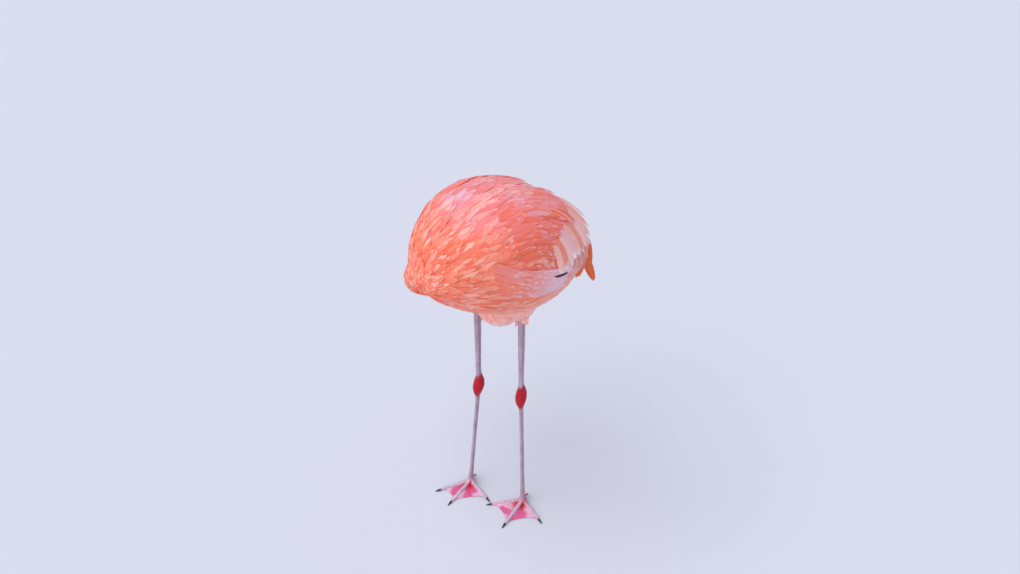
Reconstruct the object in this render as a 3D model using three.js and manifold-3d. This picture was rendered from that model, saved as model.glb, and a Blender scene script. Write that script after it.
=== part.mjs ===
// An American flamingo at life size.
// It stands on both legs and bends its neck round to preen its right flank.
// Millimetres, +Z up. The trunk heads along -Y and the bird's left is +X.
import * as THREE from 'three';
import { mergeVertices } from 'three/addons/utils/BufferGeometryUtils.js';
import Module from 'manifold-3d';

const wasm = await Module();
wasm.setup();

const vec = (x, y, z) => new THREE.Vector3(x, y, z);

// Driving dimensions.
const GAP = 0.3;                          // between pieces that touch
const WING_DEPTH = 12;                    // thickness of the folded wing with its feathers
const WING_RISE = 2.5;                    // how far the wing stands proud of the flank
const ANKLE_HEIGHT = 306;                 // of the ankle joint above the ground
const FOOT_HEADING = THREE.MathUtils.degToRad(15.5);   // the feet turn this much to the bird's left
const LEFT = 1;
const RIGHT = -1;

// The trunk, with its feathers, from the front pole to the rear pole.
// Each station is: distance behind the centre, half width, top and bottom above the centre.
const TRUNK_CENTRE = vec(22, 2, 666);
const TRUNK_STATIONS = [
  [-197, 0, 6, 6],
  [-187, 37, 52, -22],
  [-157, 76, 93, -50],
  [-100, 115, 122, -88],
  [-20, 136, 134, -122],
  [60, 132, 116, -131],
  [130, 108, 74, -118],
  [182, 68, 22, -90],
  [204, 0, -36, -36],
];
const TRUNK_ROUNDNESS = 2.25;             // exponent of the cross-section, 2 is an ellipse

// The neck's centreline, from inside the breast, round the right flank and up to the nape.
const NECK_PATH = [
  vec(18, -100, 688),
  vec(14, -148, 688),
  vec(-3, -165, 670),
  vec(-33, -137, 634),
  vec(-76, -84, 584),
  vec(-136, -30, 540),
  vec(-196, 26, 508),
  vec(-243, 82, 495),
  vec(-267, 134, 512),
  vec(-258, 164, 550),
  vec(-231, 162, 586),
  vec(-202, 148, 601),
];
const NECK_RADII = [38, 34, 30, 28, 26, 24.5, 23, 21.5, 20.5, 21];
const NECK_LENGTHS = 5;                   // pieces that the neck is divided into

// The head sits at the neck's end and faces the right flank, so that the bill's tip meets the feathers there.
const HEAD_PLACE = vec(-186, 142, 616);
const HEAD_FORWARD = vec(0.85, -0.33, 0.42);
const HEAD_UP = vec(0, 0, 1);

// Where each leg's joints stand, and how its toes spread from the foot's heading (degrees to the left).
const LEGS = [
  {
    side: 'left',
    hip: vec(60, 30, 585),
    shankTop: vec(57, 37, 500),
    ankle: vec(55.5, 38, ANKLE_HEIGHT),
    foot: vec(58.4, 43.1, 0),
    toes: [{ turn: -54, length: 70 }, { turn: -1, length: 80 }, { turn: 60, length: 66 }],
  },
  {
    side: 'right',
    hip: vec(-18, -12, 585),
    shankTop: vec(-27, -4, 500),
    ankle: vec(-37, 5, ANKLE_HEIGHT),
    foot: vec(-71.8, 5.1, 0),
    toes: [{ turn: -40, length: 72 }, { turn: -4, length: 76 }, { turn: 64, length: 66 }],
  },
];

const MATERIALS = {
  feather: new THREE.MeshStandardMaterial({ color: 0xee7a5c, roughness: 0.75, metalness: 0 }),
  covert: new THREE.MeshStandardMaterial({ color: 0xe96a45, roughness: 0.7, metalness: 0 }),
  tertial: new THREE.MeshStandardMaterial({ color: 0xf08a4a, roughness: 0.65, metalness: 0 }),
  flight: new THREE.MeshStandardMaterial({ color: 0x17120f, roughness: 0.55, metalness: 0 }),
  legSkin: new THREE.MeshStandardMaterial({ color: 0xb98fa3, roughness: 0.55, metalness: 0 }),
  ankleSkin: new THREE.MeshStandardMaterial({ color: 0xc8324e, roughness: 0.5, metalness: 0 }),
  footSkin: new THREE.MeshStandardMaterial({ color: 0xd8708c, roughness: 0.55, metalness: 0 }),
  claw: new THREE.MeshStandardMaterial({ color: 0x1a1616, roughness: 0.4, metalness: 0 }),
  billPale: new THREE.MeshStandardMaterial({ color: 0xf0a48e, roughness: 0.4, metalness: 0 }),
  eye: new THREE.MeshStandardMaterial({ color: 0xf2d56b, roughness: 0.1, metalness: 0 }),
};

// ---- Shape tools ----

// A solid through rings of equal length. Each end closes on its ring's middle.
function loft(rings) {
  const sides = rings[0].length;
  const corners = rings.flat();
  const faces = [];
  for (let row = 0; row + 1 < rings.length; row += 1) {
    for (let side = 0; side < sides; side += 1) {
      const next = (side + 1) % sides;
      const a = row * sides + side;
      const b = row * sides + next;
      const c = a + sides;
      const d = b + sides;
      faces.push([a, b, d], [a, d, c]);
    }
  }
  for (const [row, turned] of [[0, true], [rings.length - 1, false]]) {
    const middle = rings[row].reduce((sum, p) => sum.add(p), vec(0, 0, 0)).divideScalar(sides);
    corners.push(middle);
    for (let side = 0; side < sides; side += 1) {
      const a = row * sides + side;
      const b = row * sides + (side + 1) % sides;
      faces.push(turned ? [corners.length - 1, b, a] : [corners.length - 1, a, b]);
    }
  }
  return solidOf(corners, faces);
}

function solidOf(corners, faces) {
  const volume = faces.reduce((sum, [a, b, c]) =>
    sum + corners[a].dot(corners[b].clone().cross(corners[c])), 0);
  const outward = volume > 0 ? faces : faces.map(([a, b, c]) => [a, c, b]);
  const geometry = new THREE.BufferGeometry();
  geometry.setAttribute('position', new THREE.Float32BufferAttribute(corners.flatMap((p) => p.toArray()), 3));
  geometry.setIndex(outward.flat());
  return solidFrom(geometry);
}

function solidFrom(geometry) {
  geometry.deleteAttribute('normal');
  geometry.deleteAttribute('uv');
  const merged = mergeVertices(geometry, 1e-4);
  return new wasm.Manifold(new wasm.Mesh({
    numProp: 3,
    vertProperties: new Float32Array(merged.attributes.position.array),
    triVerts: new Uint32Array(merged.index.array),
  }));
}

function geometryOf(solid) {
  const mesh = solid.getMesh();
  const geometry = new THREE.BufferGeometry();
  geometry.setAttribute('position', new THREE.BufferAttribute(new Float32Array(mesh.vertProperties), 3));
  geometry.setIndex(new THREE.BufferAttribute(new Uint32Array(mesh.triVerts), 1));
  geometry.computeVertexNormals();
  return geometry;
}

function joined(solids) {
  return solids.reduce((whole, solid) => whole.add(solid));
}

// A flattened ring: the two axes give its half sizes, power 2 is an ellipse and more is squarer.
function ring(centre, axisA, axisB, sides, power = 2) {
  const points = [];
  for (let side = 0; side < sides; side += 1) {
    const angle = (side / sides) * 2 * Math.PI;
    const a = Math.sign(Math.cos(angle)) * Math.abs(Math.cos(angle)) ** (2 / power);
    const b = Math.sign(Math.sin(angle)) * Math.abs(Math.sin(angle)) ** (2 / power);
    points.push(centre.clone().addScaledVector(axisA, a).addScaledVector(axisB, b));
  }
  return points;
}

// A smooth run through evenly spaced values, read at 0 to 1.
function smooth(values, along) {
  const curve = new THREE.CatmullRomCurve3(values.map((value) => vec(value, 0, 0)), false, 'catmullrom', 0.5);
  return curve.getPoint(along).x;
}

// ---- Trunk and wings ----

const FINE = { rings: 14, sides: 20 };     // for the outer form
const COARSE = { rings: 9, sides: 14 };    // for the core that the wings hide
const TRUNK_REACH = 206;                  // from the centre to either end, so that an inset shortens it
const POLE = 0.012;                       // how far along the first and last rings stand
const LEAST_HALF_SIZE = 1;

// The trunk's form, shrunk by inset on every side.
function trunkForm(inset, detail = FINE) {
  const column = (index) => TRUNK_STATIONS.map((station) => station[index]);
  const [behind, halfWidth, top, bottom] = [0, 1, 2, 3].map(column);
  const shorten = 1 - inset / TRUNK_REACH;
  const rings = [];
  for (let row = 0; row <= detail.rings; row += 1) {
    const along = POLE + (1 - 2 * POLE) * (row / detail.rings);
    const high = smooth(top, along);
    const low = smooth(bottom, along);
    const wide = Math.max(smooth(halfWidth, along) - inset, LEAST_HALF_SIZE);
    const tall = Math.max((high - low) / 2 - inset, LEAST_HALF_SIZE);
    const centre = TRUNK_CENTRE.clone().add(vec(0, smooth(behind, along) * shorten, (high + low) / 2));
    rings.push(ring(centre, vec(wide, 0, 0), vec(0, 0, tall), detail.sides, TRUNK_ROUNDNESS));
  }
  return loft(rings);
}

// The folded wing's outlines from the side: distance behind the trunk's centre, height above it.
// The coverts end on a slanting line, where the long tertials and secondaries begin.
const SPLIT_LOW = [66, -23];
const SPLIT_HIGH = [30, 170];
const COVERT_OUTLINE = [[-102, 78], [-88, 58], [-40, 32], [0, 10], SPLIT_LOW, SPLIT_HIGH, [-96, 170]];
const TERTIAL_OUTLINE = [SPLIT_LOW, [110, -48], [170, -82], [240, -110], [240, 60], [150, 170], SPLIT_HIGH];
const WING_INNER_EDGE = 9;                // the wings stay this far from the back's midline
const PRISM_DEPTH = 200;                  // reaches past the widest point of the trunk

function wingPrism(sign, wingOutline, grow) {
  const centre = wingOutline.reduce(([x, y], [behind, above]) =>
    [x + behind / wingOutline.length, y + above / wingOutline.length], [0, 0]);
  const outline = wingOutline.map(([behind, above]) => {
    const arm = new THREE.Vector2(behind - centre[0], above - centre[1]);
    return arm.setLength(arm.length() + grow).add(new THREE.Vector2(...centre));
  });
  const prism = new THREE.ExtrudeGeometry(new THREE.Shape(outline),
    { depth: PRISM_DEPTH, bevelEnabled: false });
  // The outline's first axis becomes +Y, its second +Z, and its depth runs outward along X.
  const turned = new THREE.Matrix4().makeBasis(vec(0, 1, 0), vec(0, 0, 1), vec(1, 0, 0));
  prism.applyMatrix4(turned);
  const inner = sign === LEFT ? WING_INNER_EDGE - grow : -WING_INNER_EDGE + grow - PRISM_DEPTH;
  prism.translate(TRUNK_CENTRE.x + inner, TRUNK_CENTRE.y, TRUNK_CENTRE.z);
  return solidFrom(prism);
}

// A long feather: a lens-shaped blade along a path, flat across outward.
const BLADE = { steps: 4, sides: 6, widest: 0.45, reach: 0.56, leastTaper: 0.06, edgeShare: 0.4 };

function blade({ path, outward, halfWidth, halfThick, grow = 0 }) {
  const curve = new THREE.CatmullRomCurve3(path);
  const rings = [];
  for (let step = 0; step <= BLADE.steps; step += 1) {
    const along = step / BLADE.steps;
    const tangent = curve.getTangent(along);
    const across = tangent.clone().cross(outward).normalize();
    const normal = across.clone().cross(tangent).normalize();
    const fromWidest = (along - BLADE.widest) / BLADE.reach;
    const taper = Math.sqrt(Math.max(1 - fromWidest ** 2, BLADE.leastTaper));
    const thick = halfThick * (BLADE.edgeShare + (1 - BLADE.edgeShare) * taper) + grow;
    const centre = curve.getPoint(along);
    rings.push(ring(centre, across.multiplyScalar(halfWidth * taper + grow),
      normal.multiplyScalar(thick), BLADE.sides));
  }
  return loft(rings);
}

// The black primaries show as a slip below the wing's rear edge. Their blades lie along the flank.
const PRIMARY_PATHS = [
  [vec(136, 30, 634), vec(131, 80, 624), vec(112, 136, 610), vec(80, 190, 596), vec(52, 226, 588)],
  [vec(138, 36, 646), vec(133, 90, 636), vec(110, 150, 620), vec(74, 204, 606), vec(40, 240, 598)],
];
// The long tertials hang over the wing tips and droop past the tail.
const TERTIAL_PATHS = [
  [vec(128, 60, 700), vec(136, 92, 668), vec(130, 118, 634), vec(118, 119, 599)],
  [vec(118, 96, 702), vec(126, 132, 668), vec(114, 150, 618), vec(102, 151, 571)],
  [vec(96, 118, 702), vec(106, 150, 664), vec(101, 171, 612), vec(98, 208, 538)],
  [vec(66, 138, 700), vec(72, 184, 660), vec(72, 212, 612), vec(70, 230, 556)],
];

function mirrored(path) {
  return path.map((point) => vec(2 * TRUNK_CENTRE.x - point.x, point.y, point.z));
}

function blades(paths, sign, halfWidth, halfThick, grow = 0) {
  return joined(paths.map((points) => {
    const path = sign === LEFT ? points : mirrored(points);
    const outward = path[2].clone().sub(TRUNK_CENTRE).normalize();
    return blade({ path, outward, halfWidth, halfThick, grow });
  }));
}

// ---- Tail ----

const TAIL_ROOT = vec(22, 160, 616);
const TAIL_TIP = vec(22, 240, 548);
// The fan is broadest past its middle, thins towards the tip and closes in a round edge.
const TAIL = {
  steps: 7, sides: 12, halfWidth: 30, spread: 14, phase: 0.15, sweep: 0.62, closesAt: 0.8, closing: 0.215,
  thick: 15, thinning: 9, edgeShare: 0.4,
};

function tailForm(grow) {
  const rings = [];
  for (let step = 0; step <= TAIL.steps; step += 1) {
    const along = step / TAIL.steps;
    const halfWidth = TAIL.halfWidth + TAIL.spread * Math.sin(Math.PI * (TAIL.phase + TAIL.sweep * along));
    const close = along > TAIL.closesAt ? Math.sqrt(1 - ((along - TAIL.closesAt) / TAIL.closing) ** 2) : 1;
    const thick = (TAIL.thick - TAIL.thinning * along) * (TAIL.edgeShare + (1 - TAIL.edgeShare) * close);
    rings.push(ring(TAIL_ROOT.clone().lerp(TAIL_TIP, along), vec(halfWidth * close + grow, 0, 0),
      vec(0, 0, thick + grow), TAIL.sides));
  }
  return loft(rings);
}

// ---- Neck ----

const neckCurve = new THREE.CatmullRomCurve3(NECK_PATH);
const NECK_SIDES = 12;
const NECK_STEPS = 36;
const NECK_FRAMES = 4 * NECK_STEPS;       // the finer steps that carry the ring's axes along
const NECK_LEAST_STEPS = 3;

function neckForm(from, to, grow) {
  const frames = neckCurve.computeFrenetFrames(NECK_FRAMES, false);
  const count = Math.max(NECK_LEAST_STEPS, Math.round((to - from) * NECK_STEPS));
  const rings = [];
  for (let step = 0; step <= count; step += 1) {
    const along = from + (to - from) * (step / count);
    const frame = Math.round(along * NECK_FRAMES);
    const radius = smooth(NECK_RADII, along) + grow;
    rings.push(ring(neckCurve.getPointAt(along), frames.normals[frame].clone().multiplyScalar(radius),
      frames.binormals[frame].clone().multiplyScalar(radius), NECK_SIDES));
  }
  return loft(rings);
}

// ---- Head and bill ----

// The head's own axes: forward, up, and to the head's left.
const headUp = HEAD_UP.clone().addScaledVector(HEAD_FORWARD.clone().normalize(),
  -HEAD_UP.dot(HEAD_FORWARD.clone().normalize())).normalize();
const headForward = HEAD_FORWARD.clone().normalize();
const headLeft = headUp.clone().cross(headForward).normalize();

function headPoint(forward, up, left) {
  return HEAD_PLACE.clone().addScaledVector(headForward, forward).addScaledVector(headUp, up)
    .addScaledVector(headLeft, left);
}

// Each skull station is: forward, up, half height, half width.
const SKULL_STATIONS = [
  [-35, -3, 5, 5], [-33, -2, 14, 12], [-24, 0, 21, 17], [-10, 2, 24.5, 19], [6, 1, 23, 18.5],
  [20, -2, 19, 16], [30, -4, 16.5, 13.5],
];
const EYE_PLACE = { forward: 7, up: 6, left: 15.2 };
const EYE_RADIUS = 6;
const EYE_DETAIL = [10, 7];               // sides and rings of the ball
const SKULL = { steps: 11, sides: 16 };

function skullForm(grow) {
  const rings = [];
  const at = (index, along) => smooth(SKULL_STATIONS.map((station) => station[index]), along);
  for (let step = 0; step <= SKULL.steps; step += 1) {
    const along = step / SKULL.steps;
    const wide = headLeft.clone().multiplyScalar(at(3, along) + grow);
    const tall = headUp.clone().multiplyScalar(at(2, along) + grow);
    rings.push(ring(headPoint(at(0, along), at(1, along), 0), wide, tall, SKULL.sides));
  }
  return loft(rings);
}

// The bill's gape line, from the face to the tip: forward, up. It bends sharply down half way.
const GAPE_LINE = [[25, -7], [46, -9.5], [60, -15], [71, -26], [78, -42], [81, -58], [80, -72]];
// Heights above and below the gape line and the half width, at each of its points.
const UPPER_HEIGHTS = [13, 11.5, 10, 9.5, 9, 7.5, 2.6];
const LOWER_HEIGHTS = [12.5, 15, 17.5, 17.5, 14, 9, 3];
const BILL_HALF_WIDTHS = [12.5, 13, 13.5, 13.5, 12, 8.5, 2.6];
const BILL = { steps: 11, sides: 8, upperSlimness: 0.94, fullness: 0.85 };

const gapeCurve = new THREE.CatmullRomCurve3(GAPE_LINE.map(([forward, up]) => vec(forward, up, 0)));

// One half of the bill: a run of D-shaped rings on one side of the gape line.
function billForm(heights, above) {
  const rings = [];
  for (let step = 0; step <= BILL.steps; step += 1) {
    const along = step / BILL.steps;
    const place = gapeCurve.getPoint(along);
    const tangent = gapeCurve.getTangent(along);
    const rise = vec(-tangent.y, tangent.x, 0).multiplyScalar(above);
    const height = smooth(heights, along);
    const wide = smooth(BILL_HALF_WIDTHS, along) * (above > 0 ? BILL.upperSlimness : 1);
    const points = [];
    for (let side = 0; side <= BILL.sides; side += 1) {
      const angle = (side / BILL.sides) * Math.PI;
      const lift = GAP / 2 + height * Math.sin(angle) ** BILL.fullness;
      points.push(headPoint(place.x + GAP + rise.x * lift, place.y + rise.y * lift, wide * Math.cos(angle)));
    }
    rings.push(points);
  }
  return loft(rings);
}

// ---- Legs ----

const footForward = vec(Math.sin(FOOT_HEADING), -Math.cos(FOOT_HEADING), 0);
const footAcross = vec(Math.cos(FOOT_HEADING), Math.sin(FOOT_HEADING), 0);

// Each leg station is: height, half width, half length, and how far its middle lies ahead.
const SHANK_STATIONS = [[512, 7.2, 8.6, 0], [440, 6.4, 7.6, 0], [370, 5.4, 6.6, 0], [336, 5.4, 7, 0]];
const ANKLE_STATIONS = [
  [336 - GAP, 5.4, 7, 0], [327, 8, 9.6, -2], [315, 11, 12, -2], [303, 12, 12.6, 1], [291, 9.8, 11, 2.5],
  [276 + GAP, 5, 6.6, 0.5],
];
const TARSUS_STATIONS = [
  [276, 5, 6.6, 0.5], [255, 4.1, 5.6, 0], [150, 3.9, 5.3, 0], [50, 4.2, 5.6, 0], [20, 5.6, 7, 0],
];
const FOOT_TOP_STATIONS = [[20 - GAP, 5.6, 7, 0], [12, 8, 10, 1], [5, 9.5, 12, 2], [0, 9.5, 12, 2]];
const LEG_SIDES = 12;

// The leg's middle at a height: straight from the shank's top to the ankle, and straight on to the foot.
function legMiddle(leg, height) {
  const [low, high] = height > ANKLE_HEIGHT ? [leg.ankle, leg.shankTop] : [leg.foot, leg.ankle];
  return low.clone().lerp(high, (height - low.z) / (high.z - low.z));
}

function legLength(leg, stations, grow = 0) {
  return loft(stations.map(([height, halfWidth, halfLength, ahead]) => {
    const centre = legMiddle(leg, height).addScaledVector(footForward, ahead);
    const wide = footAcross.clone().multiplyScalar(halfWidth + grow);
    const long = footForward.clone().multiplyScalar(halfLength + grow);
    return ring(centre, wide, long, LEG_SIDES);
  }));
}

// The feathered thigh hangs below the belly and closes round the bare shank.
const THIGH_RINGS = [
  { down: 0, halfWidth: 44, halfLength: 50 }, { down: 0.35, halfWidth: 41, halfLength: 47 },
  { down: 0.62, halfWidth: 34, halfLength: 40 }, { down: 0.82, halfWidth: 24, halfLength: 28 },
  { down: 0.95, halfWidth: 14, halfLength: 16 }, { down: 1, halfWidth: 9.5, halfLength: 11 },
];
const THIGH_SIDES = 12;
const THIGH_END = 506;                    // height where the feathers stop

function thighForm(leg, grow = 0) {
  const end = legMiddle(leg, THIGH_END - grow);
  return loft(THIGH_RINGS.map(({ down, halfWidth, halfLength }) =>
    ring(leg.hip.clone().lerp(end, down), footAcross.clone().multiplyScalar(halfWidth + grow),
      footForward.clone().multiplyScalar(halfLength + grow), THIGH_SIDES)));
}

// The soft feathers of the belly fill the space between the thighs.
const BELLY = { middle: vec(15, 15, 545), size: vec(56, 52, 64) };
const BELLY_DETAIL = [12, 8];             // sides and rings of the ball

function bellyForm() {
  const ball = new THREE.SphereGeometry(1, ...BELLY_DETAIL);
  ball.scale(...BELLY.size.toArray());
  ball.translate(...BELLY.middle.toArray());
  return solidFrom(ball);
}

// ---- Feet ----

const TOE_START = 4;                      // toes start this far from the foot's middle
const TOE_ROOT = { halfWidth: 5.4, height: 9.5 };
const TOE_END = { halfWidth: 3.3, height: 5.6 };
const TOE_DETAIL = { steps: 4, sides: 5 };
const TOE_JOINTS = 2;                     // slight swellings along a toe
const TOE_SWELL = 0.1;
const CLAW_LENGTH = 13;
const CLAW_ROOT = { halfWidth: 2.9, height: 5 };
const CLAW_TIP = { halfWidth: 0.6, height: 0.8 };
const CLAW_BASE = 0.4;                    // the claws stand this far above the ground
const CLAW_STATIONS = [0, 0.35, 0.7, 1];
const WEB = { thickness: 1.6, reach: 0.9, dip: 0.86, steps: 7 };
const HIND_TOE = { start: 3, length: 15, root: 14, end: 7, sides: 8, half: [3.6, 3.8], endHalf: [2.4, 2.5] };
const HIND_CLAW = { length: 8, drop: 3.5, half: [2, 2.2], endHalf: [0.4, 0.5], stations: [0, 0.5, 1] };
const { lerp } = THREE.MathUtils;

function heading(turn) {
  const angle = FOOT_HEADING + THREE.MathUtils.degToRad(turn);
  return vec(Math.sin(angle), -Math.cos(angle), 0);
}

// A D-shaped ring standing on the ground across a toe.
function toeRing(place, across, halfWidth, height, base = 0) {
  const points = [];
  for (let side = 0; side <= TOE_DETAIL.sides; side += 1) {
    const angle = (side / TOE_DETAIL.sides) * Math.PI;
    points.push(place.clone().addScaledVector(across, halfWidth * Math.cos(angle))
      .add(vec(0, 0, base + height * Math.sin(angle))));
  }
  return points;
}

function toeForm(foot, { turn, length }) {
  const ahead = heading(turn);
  const across = heading(turn + 90);
  const rings = [];
  for (let step = 0; step <= TOE_DETAIL.steps; step += 1) {
    const along = step / TOE_DETAIL.steps;
    const swell = 1 + TOE_SWELL * Math.sin(Math.PI * TOE_JOINTS * along) ** 2;
    const halfWidth = lerp(TOE_ROOT.halfWidth, TOE_END.halfWidth, along) * swell;
    const height = lerp(TOE_ROOT.height, TOE_END.height, along) * swell;
    rings.push(toeRing(foot.clone().addScaledVector(ahead, TOE_START + (length - TOE_START) * along), across,
      halfWidth, height));
  }
  return loft(rings);
}

function clawForm(foot, { turn, length }) {
  const ahead = heading(turn);
  const across = heading(turn + 90);
  const rings = CLAW_STATIONS.map((along) => toeRing(
    foot.clone().addScaledVector(ahead, length + GAP + CLAW_LENGTH * along), across,
    lerp(CLAW_ROOT.halfWidth, CLAW_TIP.halfWidth, along),
    lerp(CLAW_ROOT.height, CLAW_TIP.height, along), CLAW_BASE));
  return loft(rings);
}

// The web between two toes: its outer edge curves in between the claws.
function webForm(foot, first, second) {
  const start = heading(first.turn).multiplyScalar(first.length * WEB.reach);
  const end = heading(second.turn).multiplyScalar(second.length * WEB.reach);
  const dip = start.clone().add(end).multiplyScalar(0.5 * WEB.dip);
  const edge = new THREE.QuadraticBezierCurve3(start, dip, end).getPoints(WEB.steps);
  const outline = new THREE.Shape([new THREE.Vector2(0, 0), ...edge.map((p) => new THREE.Vector2(p.x, p.y))]);
  const plate = new THREE.ExtrudeGeometry(outline, { depth: WEB.thickness, bevelEnabled: false });
  plate.translate(foot.x, foot.y, 0);
  return solidFrom(plate);
}

// A short tapering rod that points back from the foot: the hind toe or its claw.
function hindRod(foot, { start, length, root, end, half, endHalf, stations }) {
  const back = heading(180);
  const across = heading(90);
  return loft(stations.map((along) => {
    const place = foot.clone().addScaledVector(back, start + length * along);
    place.z = lerp(root, end, along);
    return ring(place, across.clone().multiplyScalar(lerp(half[0], endHalf[0], along)),
      vec(0, 0, lerp(half[1], endHalf[1], along)), HIND_TOE.sides);
  }));
}

function hindToe(foot) {
  return hindRod(foot, { ...HIND_TOE, stations: CLAW_STATIONS });
}

function hindClaw(foot) {
  const start = HIND_TOE.start + HIND_TOE.length + GAP;
  return hindRod(foot, { ...HIND_CLAW, start, root: HIND_TOE.end, end: HIND_TOE.end - HIND_CLAW.drop });
}

function footForm(leg) {
  const toes = leg.toes.map((toe) => toeForm(leg.foot, toe));
  const webs = [webForm(leg.foot, leg.toes[0], leg.toes[1]), webForm(leg.foot, leg.toes[1], leg.toes[2])];
  return joined([legLength(leg, FOOT_TOP_STATIONS), ...toes, ...webs, hindToe(leg.foot)]);
}

// ---- The whole bird ----

const PRIMARY_BLADE = [11, 2.4];          // half width and half thickness
const TERTIAL_BLADE = [13, 2.2];
const flamingo = new THREE.Group();

function place(name, solid, material) {
  const mesh = new THREE.Mesh(geometryOf(solid), material);
  mesh.name = name;
  flamingo.add(mesh);
}

const outer = trunkForm(0);
const outerGrown = trunkForm(-GAP);
const core = trunkForm(WING_DEPTH, COARSE);
const coreGrown = trunkForm(WING_DEPTH - GAP, COARSE);
const wingShell = trunkForm(-WING_RISE);

let trunk = outer;
for (const sign of [LEFT, RIGHT]) {
  trunk = trunk.subtract(wingPrism(sign, COVERT_OUTLINE, 2 * GAP));
  trunk = trunk.subtract(wingPrism(sign, TERTIAL_OUTLINE, 2 * GAP));
}
trunk = trunk.add(core).subtract(tailForm(GAP));

for (const [side, sign] of [['left', LEFT], ['right', RIGHT]]) {
  const primaries = blades(PRIMARY_PATHS, sign, ...PRIMARY_BLADE).subtract(tailForm(GAP));
  const primariesGrown = blades(PRIMARY_PATHS, sign, ...PRIMARY_BLADE, GAP);
  trunk = trunk.subtract(primariesGrown);
  const shell = wingShell.subtract(coreGrown).subtract(primariesGrown).subtract(tailForm(GAP));
  const coverts = shell.intersect(wingPrism(sign, COVERT_OUTLINE, 0));
  const drooping = blades(TERTIAL_PATHS, sign, ...TERTIAL_BLADE)
    .subtract(outerGrown).subtract(primariesGrown);
  const tertials = shell.intersect(wingPrism(sign, TERTIAL_OUTLINE, 0)).add(drooping)
    .subtract(wingPrism(sign, COVERT_OUTLINE, 2 * GAP));
  place(`${side}_wing`, coverts, MATERIALS.covert);
  place(`${side}_primaries`, primaries, MATERIALS.flight);
  place(`${side}_tertials`, tertials, MATERIALS.tertial);
}
place('trunk', trunk, MATERIALS.feather);
place('tail', tailForm(0), MATERIALS.feather);

const neckEnd = 0.985;
const neckStart = 0.06;
for (let length = 1; length <= NECK_LENGTHS; length += 1) {
  const cut = (index) => neckStart + (neckEnd - neckStart) * (index / NECK_LENGTHS);
  const trim = GAP / 2 / neckCurve.getLength();
  let piece = neckForm(cut(length - 1) + trim, cut(length) - trim, 0);
  if (length <= 2) {
    piece = piece.subtract(outerGrown);
  }
  if (length === NECK_LENGTHS) {
    piece = piece.subtract(skullForm(GAP));
  }
  place(`neck_${length}`, piece, MATERIALS.feather);
}

let head = skullForm(0);
for (const [side, sign] of [['left', LEFT], ['right', RIGHT]]) {
  const centre = headPoint(EYE_PLACE.forward, EYE_PLACE.up, sign * EYE_PLACE.left);
  const ball = (radius) => {
    const sphere = new THREE.SphereGeometry(radius, ...EYE_DETAIL);
    sphere.translate(centre.x, centre.y, centre.z);
    return solidFrom(sphere);
  };
  head = head.subtract(ball(EYE_RADIUS + GAP));
  place(`${side}_eye`, ball(EYE_RADIUS), MATERIALS.eye);
}
place('head', head, MATERIALS.feather);
const face = skullForm(GAP);
place('upper_bill', billForm(UPPER_HEIGHTS, 1).subtract(face), MATERIALS.billPale);
place('lower_bill', billForm(LOWER_HEIGHTS, -1).subtract(face), MATERIALS.billPale);

let belly = bellyForm().subtract(outerGrown);
for (const leg of LEGS) {
  belly = belly.subtract(thighForm(leg, GAP)).subtract(legLength(leg, SHANK_STATIONS, GAP));
  const thigh = thighForm(leg).subtract(outerGrown).subtract(legLength(leg, SHANK_STATIONS, GAP));
  place(`${leg.side}_thigh`, thigh, MATERIALS.feather);
  place(`${leg.side}_shank`, legLength(leg, SHANK_STATIONS), MATERIALS.legSkin);
  place(`${leg.side}_ankle`, legLength(leg, ANKLE_STATIONS), MATERIALS.ankleSkin);
  place(`${leg.side}_tarsus`, legLength(leg, TARSUS_STATIONS), MATERIALS.legSkin);
  place(`${leg.side}_foot`, footForm(leg), MATERIALS.footSkin);
  leg.toes.forEach((toe, index) => {
    place(`${leg.side}_claw_${index + 1}`, clawForm(leg.foot, toe), MATERIALS.claw);
  });
  place(`${leg.side}_claw_hind`, hindClaw(leg.foot), MATERIALS.claw);
}

place('belly', belly, MATERIALS.feather);

// The frame's origin lies on the ground under the middle of the whole bird.
const box = new THREE.Box3().setFromObject(flamingo, true);
const middle = box.getCenter(vec(0, 0, 0));
flamingo.position.set(-middle.x, -middle.y, -box.min.z);
flamingo.updateMatrixWorld(true);

export default flamingo;
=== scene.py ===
import math

import bmesh
import bpy
import numpy as np
from mathutils import Matrix, Vector, noise
from mathutils.bvhtree import BVHTree


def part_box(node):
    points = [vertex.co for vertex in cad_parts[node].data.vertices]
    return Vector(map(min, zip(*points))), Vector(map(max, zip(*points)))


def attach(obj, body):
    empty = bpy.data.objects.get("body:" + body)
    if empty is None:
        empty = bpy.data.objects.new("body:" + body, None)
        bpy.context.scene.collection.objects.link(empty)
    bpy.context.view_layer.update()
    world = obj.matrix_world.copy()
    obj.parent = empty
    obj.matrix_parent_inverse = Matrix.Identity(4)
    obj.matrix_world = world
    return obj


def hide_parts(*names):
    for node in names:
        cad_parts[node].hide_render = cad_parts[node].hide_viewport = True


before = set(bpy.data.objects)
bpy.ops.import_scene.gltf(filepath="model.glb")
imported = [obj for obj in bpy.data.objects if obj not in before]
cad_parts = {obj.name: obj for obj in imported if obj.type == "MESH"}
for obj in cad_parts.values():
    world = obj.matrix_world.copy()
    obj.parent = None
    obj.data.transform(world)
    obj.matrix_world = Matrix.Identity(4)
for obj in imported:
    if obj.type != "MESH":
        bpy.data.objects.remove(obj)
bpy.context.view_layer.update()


# ---- Head's place
# The head hangs by the right flank and looks across it. The left eye, a plain ball
# whose place in the head is known, tells where the bird's own axes stand in the frame.
MM = 0.001
HEAD_PLACE = np.array([-186.0, 142.0, 616.0])
EYE_PLACE = {"forward": 7.0, "up": 6.0, "left": 15.2}
EYE_RADIUS = 6.0
HEAD_HEADING = [0.85, -0.33, 0.42]


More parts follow.
